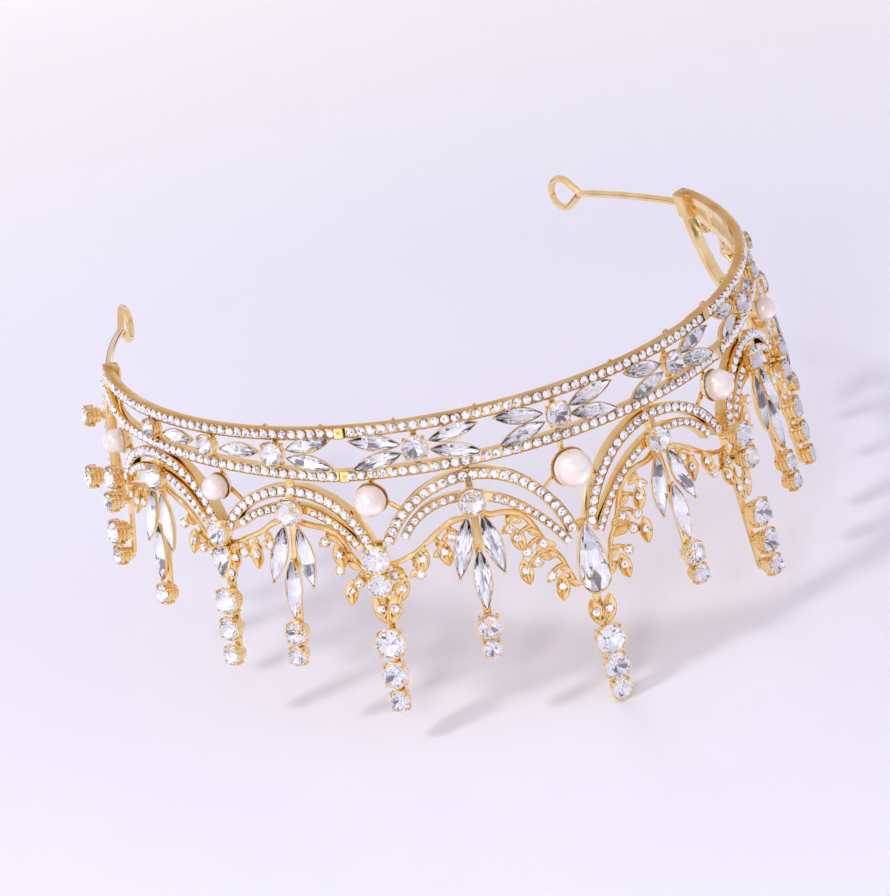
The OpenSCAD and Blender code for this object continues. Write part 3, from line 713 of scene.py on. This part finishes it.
GOLD = gold("gold_polished", (1.0, 0.785, 0.42), (0.94, 0.63, 0.25), 0.04, 0.15)
CAST = gold("gold_cast", (0.97, 0.73, 0.36), (0.86, 0.55, 0.21), 0.16, 0.3, 0.5)
GLASS = glass_material()
# Facet colours from dark grey to white are painted reflections, chosen by each face's painted-sparkle level.
FOIL = sparkle_painted_material("crystal_foil_painted_sparkle",
                      [(0.1, (0.22, 0.21, 0.23)), (0.45, (0.80, 0.79, 0.82)), (0.8, (0.97, 0.97, 0.98)),
                       (1.0, (1, 1, 1))],
                      metallic=0.45, low=0.16, high=0.3, coat=0.0)
# The pavé stones' dark grey to white facet colours are painted reflections too.
CHIP = sparkle_painted_material("pave_crystal_painted_sparkle",
                      [(0.1, (0.33, 0.31, 0.34)), (0.5, (0.84, 0.82, 0.86)), (0.8, (0.95, 0.95, 0.98)),
                       (1.0, (1, 1, 1))],
                      metallic=0.25, low=0.04, high=0.12, coat=1.0)
PEARL = pearl_material()


# ---- Band ----------------------------------------------------------------------------------
BAND_OUTLINE = channel(STRIP_W, STRIP_D)
JOINT_BARE = 1.2
JOINTS = [(side * PANEL_HALF, v, JOINT_BARE) for side in (-1, 1) for v in (STRIP_W / 2, ROW2_HEIGHT)]


def band(a, b, rungs, side):
    metal = Piece()
    low = [(th, v + 0.03) for th, v in row1_path(a, b)]
    metal.add(strip(low, BAND_OUTLINE), world(side))
    metal.add(strip(row2_path(a, b), BAND_OUTLINE), world(side))
    for th in rungs:
        rung = bar(RUNG_W, row2_v(th) - STRIP_W / 2, BAR_T)
        metal.add(rung, seat(th, STRIP_W / 2, 0.2 - STRIP_D, side=side))
    return metal


metals = {
    "band_centre": band(-PANEL_HALF, PANEL_HALF, RUNGS["centre"], 1),
    "band_right": band(PANEL_HALF, END_ANGLE - 2, RUNGS["side"], 1),
    "band_left": band(PANEL_HALF, END_ANGLE - 2, RUNGS["side"], -1),
}
# the centre casting laps over its neighbours with a small bowed plate
for th, v, _ in JOINTS:
    place = seat(th, v, -0.15)
    metals["band_centre"].add(bar(STRIP_W, 2.2, 0.5, 0.22), moved(place, x=1.1, turn=90))
    metals["band_centre"].add(bead(0.5, 10), moved(place, z=0.25))
for name, metal in metals.items():
    metal.make(name + "_strips", GOLD, [name])

beads = Piece()
for row, path_of in (("row1", row1_path), ("row2", row2_path)):
    stones = Piece()
    pave(stones, beads, path_of(-END_ANGLE + 2, END_ANGLE - 2), clear=JOINTS)
    stones.make(row + "_cut_stones", CHIP, [row + "_stones"], "crystal")
beads.make("band_beads", GOLD)

tabs = Piece()
for side in (1, -1):
    for v in (STRIP_W / 2, ROW2_HEIGHT):
        tabs.add(bar(1.8, 6, 0.9), moved(seat(PANEL_HALF, v, -STRIP_D - 0.9, side=side), x=3, turn=90))
tabs.make("lap_tabs_soldered", CAST, ["lap_tabs"])

metal, glass, foil = Piece(), Piece(), Piece()
for side in (1, -1):
    for th, way in PAIR_ROOTS:
        v = middle_v(th)
        for s in (-1, 1):
            start = th + way * to_deg(PAIR_START, v)
            root = seat(start, v + s * PAIR[1] * 0.3, 0, way * (90 - s * PAIR_TURN), side)
            place = moved(root, y=PAIR[0] / 2)
            metal.add(boat(lens_outline(*PAIR), 0.26, 1.6), place)
            crystal(glass, foil, lens_outline(*PAIR), moved(place, z=0.04), 0.82, 1.1, 0.42, 0.3)
            metal.add(bead(0.34), moved(place, y=PAIR[0] / 2 - 0.05, z=0.28))
    for th in SINGLES:
        place = seat(th, middle_v(th), 0, 90, side)
        metal.add(boat(lens_outline(*SINGLE), 0.26, 1.6), place)
        crystal(glass, foil, lens_outline(*SINGLE), moved(place, z=0.04), 0.8, 1.1, 0.42, 0.3)
        for e in (-1, 1):
            metal.add(bead(0.34), moved(place, y=e * (SINGLE[0] / 2 - 0.05), z=0.28))
metal.make("band_marquise_boats", GOLD, ["band_marquise_cups"])
glass.make("band_marquise_crystals", GLASS, ["band_marquise_stones"], "crystal")
foil.make("band_marquise_foils", FOIL, slot="crystal")

metal, glass, foil = Piece(), Piece(), Piece()
for i, (th, d) in enumerate(BAND_ROUNDS):
    for side in (1, -1) if i else (1,):
        set_round(metal, glass, foil, d, seat(th, middle_v(th), 1, side=side), 2.6)
metal.make("band_round_baskets", GOLD, ["band_round_cups"])
glass.make("band_round_crystals", GLASS, ["band_round_stones"], "crystal")
foil.make("band_round_foils", FOIL, slot="crystal")

# ---- Arches --------------------------------------------------------------------------------
OUTER_OUTLINE = channel(STRIP_W, ARCH_D)
INNER_OUTLINE = channel(INNER_W, ARCH_D - INNER_CUT, -0.34, 0.18)
arch_beads, outer_stones, inner_stones = Piece(), Piece(), Piece()
arches = {"arches_centre": Piece(), "arches_right": Piece(), "arches_left": Piece()}
for side in (1, -1):
    for j in range(3):
        metal = arches["arches_centre" if j == 0 else "arches_right" if side == 1 else "arches_left"]
        metal.add(strip(outer_arch(j), OUTER_OUTLINE), world(side))
        metal.add(strip(inner_arch(j), INNER_OUTLINE), world(side))
        tab = bar(ARCH_TAB_W, INNER_APEX[j] - row2_v(SPRAYS[j]), BAR_T)
        metal.add(tab, seat(SPRAYS[j], row2_v(SPRAYS[j]), -1.4, side=side))
        bridge = bar(STEM_W, SPRAY_V[j] - ARCH_APEX[j] - 1, 0.9, 0.2)
        metal.add(bridge, seat(SPRAYS[j], ARCH_APEX[j], -0.5, side=side))
        pave(outer_stones, arch_beads, outer_arch(j), side=side)
        pave(inner_stones, arch_beads, inner_arch(j), INNER_PITCH, INNER_D, INNER_W, side,
             [(SPRAYS[j], SPRAY_V[j], SPRAY_ROUND_D / 2 + 0.9)])
for name, metal in arches.items():
    metal.make(name + "_strips", GOLD, [name])
arch_beads.make("arch_beads", GOLD)
outer_stones.make("arch_outer_cut_stones", CHIP, ["arch_outer_stones"], "crystal")
inner_stones.make("arch_inner_cut_stones", CHIP, ["arch_inner_stones"], "crystal")

end_stones, glass, foil = Piece(), Piece(), Piece()
END_OUTLINE = channel(STRIP_W, ARCH_D - INNER_CUT)
for side, name in ((1, "end_arch_right"), (-1, "end_arch_left")):
    metal = Piece()
    metal.add(strip(END_ARCH, END_OUTLINE), world(side))
    pave(end_stones, metal, END_ARCH, side=side)
    for th, v, o, d in POSTED:
        place = seat(th, v, o, side=side)
        set_round(metal, glass, foil, d, place)
        post(metal, o, -1, place)
    metal.make(name + "_strips", GOLD, [name])
end_stones.make("end_arch_cut_stones", CHIP, ["end_arch_stones"], "crystal")
glass.make("posted_crystals", GLASS, slot="crystal")
foil.make("posted_foils", FOIL, slot="crystal")

# ---- Pearls --------------------------------------------------------------------------------
pearls, pegs, cups = Piece(), Piece(), Piece()
for i, (th, v, d) in enumerate(zip(CUSPS, PEARL_V, PEARL_DS)):
    for side in (1, -1) if i else (1,):
        place = seat(th, v, side=side)
        middle = PEARL_SEAT + d / 2 - 0.5
        steps = 28
        angles = [math.pi * k / steps for k in range(steps + 1)]
        pearls.add(lathe([(d / 2 * math.sin(a) + 1e-4, middle - d / 2 * math.cos(a)) for a in angles], 48), place)
        pegs.add(lathe([(0.5, PEARL_SEAT), (0.5, d * 0.6 - 1.4), (0.3, d * 0.6 - 1.2)], 12), place)
        base = PEARL_SEAT - 1.2
        cups.add(lathe([(d * 0.2, base), (d * 0.25, base + 0.12), (d * 0.38, base + d * 0.12),
                        (d * 0.48, base + d * 0.25), (d * 0.535, base + d * 0.37), (d * 0.52, base + d * 0.4),
                        (d * 0.49, base + d * 0.38), (d * 0.36, base + d * 0.22), (d * 0.1, base + 0.9)], 32), place)
        drop = v - row2_v(th)
        cups.add(tube([(0, -d * 0.2, base + 0.5), (0.1, -drop * 0.55, base + 0.75), (0, -drop, base + 0.6)],
                      [0.75, 0.6, 0.7], 10, 0.75, (0, 0, 1)), place)
        for s in (-1,) if i == 3 else (-1, 1):
            reach = d * 0.45 + 4.6
            arm = [(0, d * 0.2, base + 0.5), (s * 0.2, reach * 0.5, base + 0.6),
                   (s * 0.5, reach * 0.8, base + 0.7), (0, reach, base + 0.7)]
            cups.add(tube(arm, [0.6, 0.5, 0.5, 0.62], 8, 0.85, (0, 0, 1)), moved(place, turn=s * STRUT_TURN))
pearls.make("pearls_nacre", PEARL, ["pearls"], "pearl", 80)
pegs.make("pearl_pegs_turned", GOLD, ["pearl_pegs"])
cups.make("pearl_cups", GOLD, ["pearl_seats"])

# ---- Spikes --------------------------------------------------------------------------------
SPIKE_NAMES = ["centre", "inner", "outer", "end"]
glass, foil, pear_glass, pear_foil, leaf_stones = Piece(), Piece(), Piece(), Piece(), Piece()
for i in range(4):
    for side in (1, -1) if i else (1,):
        metal = Piece()
        root = seat(CUSPS[i], 0, side=side)
        last = TIPS[i][-1][0]
        metal.add(bar(STEM_W, last - STEM_FROM[i], BAR_T, 0.22), moved(root, y=STEM_FROM[i], z=STEM_BACK))
        for v, d, out in TIPS[i] + HEADS[i]:
            place = moved(root, y=v, z=out)
            set_round(metal, glass, foil, d, place)
            if out > FACE_O:
                post(metal, out, STEM_BACK + BAR_T / 2, place)
        for v, l, w in PEARS[i]:
            up = 1 if l > 0 else -1
            place = moved(root, y=v + 0.56 * l, z=FACE_O, turn=0 if up > 0 else 180)
            shape = pear_outline(abs(l), w)
            metal.add(boat(shape, 0.32, 3.0, 0.7), place)
            crystal(pear_glass, pear_foil, shape, moved(place, z=0.05), 1.15, 1.9, 0.5, 0.25)
            ends = [(0, -0.56 * abs(l) - 0.1), (0, 0.44 * abs(l) + 0.1), (w / 2 + 0.12, 0.44 * abs(l) - w / 2),
                    (-w / 2 - 0.12, 0.44 * abs(l) - w / 2)]
            for x, y in ends:
                metal.add(bead(0.42), moved(place, x=x * 0.95, y=y * 0.97, z=0.25))
        if i < 3:
            for s in (-1, 1) if i != 2 else (1,):
                place = moved(root, x=s * 0.7, y=LEAF_ROOTS[i], z=0.4, turn=180 + s * 14)
                leaf_cup(metal, leaf_stones, LEAF, place, 0.5, 1.9)
        suffix = "" if i == 0 else "_right" if side == 1 else "_left"
        name = "finial_" + SPIKE_NAMES[i] + suffix
        metal.make(name + "_metal", GOLD, [name])
glass.make("finial_crystals", GLASS, ["finial_stones"], "crystal")
foil.make("finial_foils", FOIL, slot="crystal")
pear_glass.make("pear_crystals", GLASS, ["pear_stones"], "crystal")
pear_foil.make("pear_foils", FOIL, slot="crystal")
leaf_stones.make("leaf_cut_stones", CHIP, ["leaf_stones"], "crystal")

# ---- Sprays --------------------------------------------------------------------------------
SPRAY_NAMES = ["inner", "outer", "end"]
glass, foil, m_glass, m_foil = Piece(), Piece(), Piece(), Piece()
for j in range(3):
    for side, hand in ((1, "right"), (-1, "left")):
        metal = Piece()
        v0 = SPRAY_V[j]
        root = moved(seat(SPRAYS[j], v0, 0, SPRAY_LEAN[j], side), y=-v0)
        set_round(metal, glass, foil, SPRAY_ROUND_D, moved(root, y=v0, z=FACE_O), 2.6)
        l, w = MARQUISE
        first = SPRAY_TIPS[j][0]
        places = [moved(root, x=s * 1.5, y=v0 + 2.9, z=0.6, turn=-s * SIDE_TURN) for s in (-1, 1)]
        places.append(moved(root, y=first[0] - first[1] / 2 - 1.2 - l, z=0.9))
        for place in places:
            middle = moved(place, y=l / 2)
            metal.add(boat(lens_outline(l, w), 0.24, 1.5, 0.45), middle)
            crystal(m_glass, m_foil, lens_outline(l, w), moved(middle, z=0.05), 0.95, 1.25, 0.4, 0.35)
            metal.add(bead(0.42), moved(place, y=l + 0.1, z=0.2))
            metal.add(bead(0.36), moved(place, y=0.1, z=0.2))
        stem = SPRAY_TIPS[j][-1][0] - v0
        metal.add(bar(STEM_W, stem, BAR_T, 0.22), moved(root, y=v0, z=STEM_BACK + INNER_CUT))
        for v, d in SPRAY_TIPS[j]:
            set_round(metal, glass, foil, d, moved(root, y=v, z=FACE_O))
        name = "spray_%s_%s" % (SPRAY_NAMES[j], hand)
        metal.make(name + "_metal", GOLD, [name])
m_glass.make("spray_marquise_crystals", GLASS, ["spray_marquise_stones"], "crystal")
m_foil.make("spray_marquise_foils", FOIL, slot="crystal")
glass.make("spray_round_crystals", GLASS, ["spray_round_stones"], "crystal")
foil.make("spray_round_foils", FOIL, slot="crystal")


# ---- Vines ---------------------------------------------------------------------------------
def smooth(points, steps=5):
    """A rounded line through the points."""
    p = [np.asarray(q, float) for q in points]
    p = [2 * p[0] - p[1]] + p + [2 * p[-1] - p[-2]]
    line = []
    for a, b, c, d in zip(p, p[1:], p[2:], p[3:]):
        for k in range(steps):
            t = k / steps
            line.append(0.5 * (2 * b + (c - a) * t + (2 * a - 5 * b + 4 * c - d) * t**2
                               + (3 * b - a - 3 * c + d) * t**3))
    return line + [p[-2]]


def curve(a, b, c, steps=8):
    """A bow from a to c drawn towards b."""
    a, b, c = (np.asarray(p, float) for p in (a, b, c))
    return [(1 - t) ** 2 * a + 2 * t * (1 - t) * b + t * t * c for t in (k / steps for k in range(steps + 1))]


def bud(metal, stones, place):
    """A small cup on the vine with one stone and four claws."""
    metal.add(lathe([(0.5, VINE_O - 0.6), (0.75, VINE_O + 0.2), (1.1, -0.35), (1.17, -0.02), (1.06, 0.08),
                     (0.9, 0.0), (0.8, -0.3)], 18), place)
    chip(stones, 1.8, moved(place, z=0.02))
    for a in (45, 135, 225, 315):
        metal.add(bead(0.22, 6), moved(moved(place, turn=a), x=0.95, z=0.16))


def half_vine(j, way, side, line, leaves, buds, metal, stones):
    """One half of a spray's vine: way is -1 towards the front and 1 away from it."""
    path = smooth([(SPRAYS[j] + way * d, v) for d, v in line])
    n = len(path)
    radii = [0.74 - 0.22 * k / n + 0.05 * math.sin(9 * k / n * math.pi) for k in range(n)]
    metal.add(tube([on(th, v, VINE_O) for th, v in path], radii, 10), world(side))
    for p in leaves + buds:
        th, v = SPRAYS[j] + way * p[0], p[1]
        place = seat(th, v, 0.2, way * p[2] if len(p) > 2 else 0, side)
        foot = min(path, key=lambda q: math.hypot(to_mm(q[0] - th, v), q[1] - v))
        bow = ((foot[0] + th) / 2 - way * 0.5, (foot[1] + v) / 2 - 0.7)
        stalk = curve(on(*foot, VINE_O), on(*bow, VINE_O + 0.1), on(th, v, VINE_O + 0.1))
        metal.add(tube(stalk, [0.54 - 0.014 * k for k in range(9)], 8), world(side))
        for k, lean in ((0.35, -58), (0.75, 52)):
            sprig = seat(foot[0] + k * (th - foot[0]), foot[1] + k * (v - foot[1]), VINE_O + 0.75, lean, side)
            metal.add(boat(lens_outline(2.6, 1.3), 0.12, 0.6, 0.4, 0.2), moved(sprig, y=1.1))
        if len(p) > 2:
            leaf_cup(metal, stones, VINE_LEAF, moved(place, y=-VINE_LEAF[0] / 2), 0.45, 1.7)
        else:
            bud(metal, stones, place)


vines = {"vines_centre": Piece(), "vines_right": Piece(), "vines_left": Piece()}
vine_stones = Piece()
for side in (1, -1):
    for j in range(3):
        metal = vines["vines_centre" if j == 0 else "vines_right" if side == 1 else "vines_left"]
        half_vine(j, -1, side, IN_LINE[j], IN_LEAVES[j], IN_BUDS[j], metal, vine_stones)
        half_vine(j, 1, side, OUT_LINE[j], OUT_LEAVES[j], OUT_BUDS[j], metal, vine_stones)
for name, metal in vines.items():
    metal.make(name + "_metal", GOLD, [name])
vine_stones.make("vine_cut_stones", CHIP, ["vine_stones"], "crystal")

# ---- Ends ----------------------------------------------------------------------------------
BOSS_TH = END_ANGLE - 1.6
BOSS = (4.4, 6.6, 3.6)
EYE_SIDE, EYE_BACK, EYE_UP = 60, 53, 9
TAIL_O, TAIL_V = -1.9, 3.2
NECK_R, EYE_R, EYE_LEAN, EYE_OPEN = 1.5, 3.9, math.radians(37.5), 1.35
EYE_LEG = (EYE_R * math.cos(EYE_LEAN) - NECK_R * (1 - math.cos(EYE_LEAN))) / math.sin(EYE_LEAN)
EYE_REACH = (NECK_R + EYE_R) * math.sin(EYE_LEAN) + EYE_LEG * math.cos(EYE_LEAN)


def tail_line():
    """The tail wire's middle line on the side of negative angles, as in the CAD part."""
    start = on(-BOSS_TH, TAIL_V, TAIL_O)
    chord = np.array([EYE_SIDE, EYE_BACK, EYE_UP]) - start
    pitch = math.atan2(chord[2], math.hypot(chord[0], chord[1]))
    yaw = math.radians(BOSS_TH - 90)
    bend = 2 * (math.atan2(-chord[0], chord[1]) - yaw)
    r = (np.linalg.norm(chord) - EYE_REACH) / (2 * math.sin(bend / 2))
    flat = [(0, -1.5, 0)]
    flat += [(r * (math.cos(bend * i / 40) - 1), r * math.sin(bend * i / 40), 0) for i in range(41)]
    neck = [EYE_LEAN * i / 4 for i in range(1, 5)]
    loop = [(NECK_R * math.sin(e), NECK_R * (math.cos(e) - 1)) for e in neck]
    for i in range(37):
        e = -EYE_LEAN + (math.pi + 2 * EYE_LEAN) * i / 36
        loop.append((EYE_REACH + EYE_R * math.sin(e), -EYE_R * math.cos(e)))
    crossing = NECK_R * (math.sin(EYE_LEAN) - (1 - math.cos(EYE_LEAN)) / math.tan(EYE_LEAN))
    loop.append((crossing + EYE_OPEN * math.cos(EYE_LEAN), EYE_OPEN * math.sin(EYE_LEAN)))
    heading = math.pi / 2 + bend
    end = np.array(flat[-1])
    line = flat + [end + np.array([x * math.cos(heading), x * math.sin(heading), z]) for x, z in loop]
    turn = Matrix.Rotation(yaw, 3, "Z") @ Matrix.Rotation(pitch, 3, "X")
    return [np.array(turn @ Vector(p)) + start for p in line]


line = tail_line()
for side, hand in ((1, "left"), (-1, "right")):
    metal = Piece()
    metal.add(tube(line, WIRE_D / 2, 16), world(side))
    metal.make("tail_wire_%s_round" % hand, GOLD, ["tail_wire_" + hand], sharp=60)
    metal = Piece()
    place = seat(BOSS_TH, 0, -BOSS[2], side=-side)
    metal.add(bar(BOSS[0], BOSS[1], BOSS[2], 0.35), place)
    collar = [line[0] + (line[2] - line[0]) * t for t in (0.0, 0.35, 0.6)]
    metal.add(tube(collar, [WIRE_D / 2 + 0.45, WIRE_D / 2 + 0.4, WIRE_D / 2 + 0.1], 16), world(side))
    metal.make("end_block_%s_bevelled" % hand, CAST, ["end_block_" + hand])

loops = Piece()
for side in (1, -1):
    for th in LOOP_ANGLES:
        turns = [math.radians(a) for a in range(0, 181, 15)]
        arc = [(0, LOOP_R * math.cos(a), -LOOP_R * math.sin(a)) for a in turns]
        loops.add(tube(arc, 0.35, 8, normal=(1, 0, 0)), seat(th, STRIP_W / 2, -STRIP_D, side=side))
loops.make("sewing_loops_wire", GOLD, ["sewing_loops"])

# ---- Stage, light and camera ---------------------------------------------------------------
lo, hi = cad_box
FLOOR_GAP = 0.4 * MM


def floor_material():
    """A pale floor that shows only its lit side and fades into the surroundings away from the crown."""
    m, nodes, links, shader = new_material("floor_pale")
    cloud = noise_of(nodes, links, 1.6, 3)
    colour = ramp_of(nodes, links, cloud.outputs["Fac"],
                     [(0.3, (0.73, 0.725, 0.785)), (0.7, (0.78, 0.77, 0.83))])
    links.new(colour.outputs["Color"], shader.inputs["Base Color"])
    shader.inputs["Roughness"].default_value = 0.7
    side = nodes.new("ShaderNodeNewGeometry")
    reach = nodes.new("ShaderNodeVectorMath")
    reach.operation = "LENGTH"
    links.new(side.outputs["Position"], reach.inputs[0])
    fade = range_of(nodes, links, reach.outputs["Value"], 0.0, 1.0, 0.22, 0.8)
    hidden = nodes.new("ShaderNodeMath")
    hidden.operation = "MAXIMUM"
    links.new(side.outputs["Backfacing"], hidden.inputs[0])
    links.new(fade.outputs["Result"], hidden.inputs[1])
    clear = nodes.new("ShaderNodeBsdfTransparent")
    mix = nodes.new("ShaderNodeMixShader")
    links.new(hidden.outputs["Value"], mix.inputs["Fac"])
    links.new(shader.outputs["BSDF"], mix.inputs[1])
    links.new(clear.outputs["BSDF"], mix.inputs[2])
    links.new(mix.outputs["Shader"], nodes["Material Output"].inputs["Surface"])
    return m


def floor(name, z, up, material):
    """A square of floor whose face points up or down; its other side can't be seen."""
    mesh = bpy.data.meshes.new(name)
    s = 4.0
    corners = [(-s, -s, z), (s, -s, z), (s, s, z), (-s, s, z)]
    mesh.from_pydata(corners, [], [[0, 1, 2, 3] if up else [3, 2, 1, 0]])
    mesh.materials.append(material)
    obj = bpy.data.objects.new(name, mesh)
    bpy.context.scene.collection.objects.link(obj)
    obj.visible_shadow = False
    return obj


pale = floor_material()
floor("floor_under", lo.z - FLOOR_GAP, True, pale)
floor("floor_over", hi.z + FLOOR_GAP, False, pale)


def studio_world():
    """Plain pale surroundings for the eye, and a soft tent with darker gaps for what the metal mirrors."""
    w = bpy.data.worlds.new("studio")
    bpy.context.scene.world = w
    w.use_nodes = True
    nodes, links = w.node_tree.nodes, w.node_tree.links
    back = nodes["Background"]
    back.inputs["Color"].default_value = (0.98, 0.94, 1.0, 1)
    back.inputs["Strength"].default_value = 1.0
    tent = nodes.new("ShaderNodeBackground")
    coords = nodes.new("ShaderNodeTexCoord")
    noise = nodes.new("ShaderNodeTexNoise")
    noise.inputs["Scale"].default_value = 3.4
    noise.inputs["Detail"].default_value = 1.0
    links.new(coords.outputs["Generated"], noise.inputs["Vector"])
    ramp = ramp_of(nodes, links, noise.outputs["Fac"],
                   [(0.41, (0.05, 0.035, 0.025)), (0.5, (0.58, 0.54, 0.55)), (0.6, (2.5, 2.4, 2.42))])
    links.new(ramp.outputs["Color"], tent.inputs["Color"])
    tent.inputs["Strength"].default_value = 0.52
    path = nodes.new("ShaderNodeLightPath")
    mix = nodes.new("ShaderNodeMixShader")
    links.new(path.outputs["Is Camera Ray"], mix.inputs["Fac"])
    links.new(tent.outputs["Background"], mix.inputs[1])
    links.new(back.outputs["Background"], mix.inputs[2])
    links.new(mix.outputs["Shader"], nodes["World Output"].inputs["Surface"])


studio_world()

CENTRE = Vector((0, 0, 0.03))


def lamp(name, way, distance, size, watts, colour=(1, 1, 1)):
    """A square soft light on the side that way points to, aimed at the crown."""
    data = bpy.data.lights.new(name, "AREA")
    data.size = size
    data.energy = watts
    data.color = colour
    obj = bpy.data.objects.new(name, data)
    bpy.context.scene.collection.objects.link(obj)
    way = Vector(way).normalized()
    obj.location = CENTRE + way * distance
    obj.rotation_mode = "QUATERNION"
    obj.rotation_quaternion = way.to_track_quat("Z", "Y")
    return obj


lamp("key_below", (0.6, -0.05, -0.79), 2.0, 0.26, 11.5)
lamp("wash_below", (-0.1, 0.88, -0.46), 1.8, 0.8, 4.5)
lamp("fill_below", (-0.5, -0.75, -0.45), 1.1, 0.7, 0.5)
lamp("key_above", (-0.45, -0.5, 0.85), 1.1, 0.4, 2.8)
lamp("back_above", (0.5, 0.8, 0.5), 1.1, 0.6, 1)
lamp("front_key", (0.5, -0.72, -0.48), 0.9, 0.16, 1.5)

# The camera looks up at the band from in front, rolled so that the spikes hang down in the picture
AZIMUTH, ELEVATION, ROLL = 16.88, -25.58, 169.16
PLACE = Vector((122.48, -399.66, -157.91)) * MM
cam_data = bpy.data.cameras.new("camera")
cam_data.sensor_width = 36
cam_data.lens = 79.1
cam_data.clip_start, cam_data.clip_end = 0.01, 50
cam = bpy.data.objects.new("camera", cam_data)
bpy.context.scene.collection.objects.link(cam)
cam.location = PLACE
cam.rotation_mode = "QUATERNION"
az, el = math.radians(AZIMUTH), math.radians(ELEVATION)
back = Vector((math.sin(az) * math.cos(el), -math.cos(az) * math.cos(el), math.sin(el)))
roll = Matrix.Rotation(math.radians(ROLL), 3, "Z").to_quaternion()
cam.rotation_quaternion = back.to_track_quat("Z", "Y") @ roll
bpy.context.scene.camera = cam
bpy.context.scene.view_settings.view_transform = "Standard"
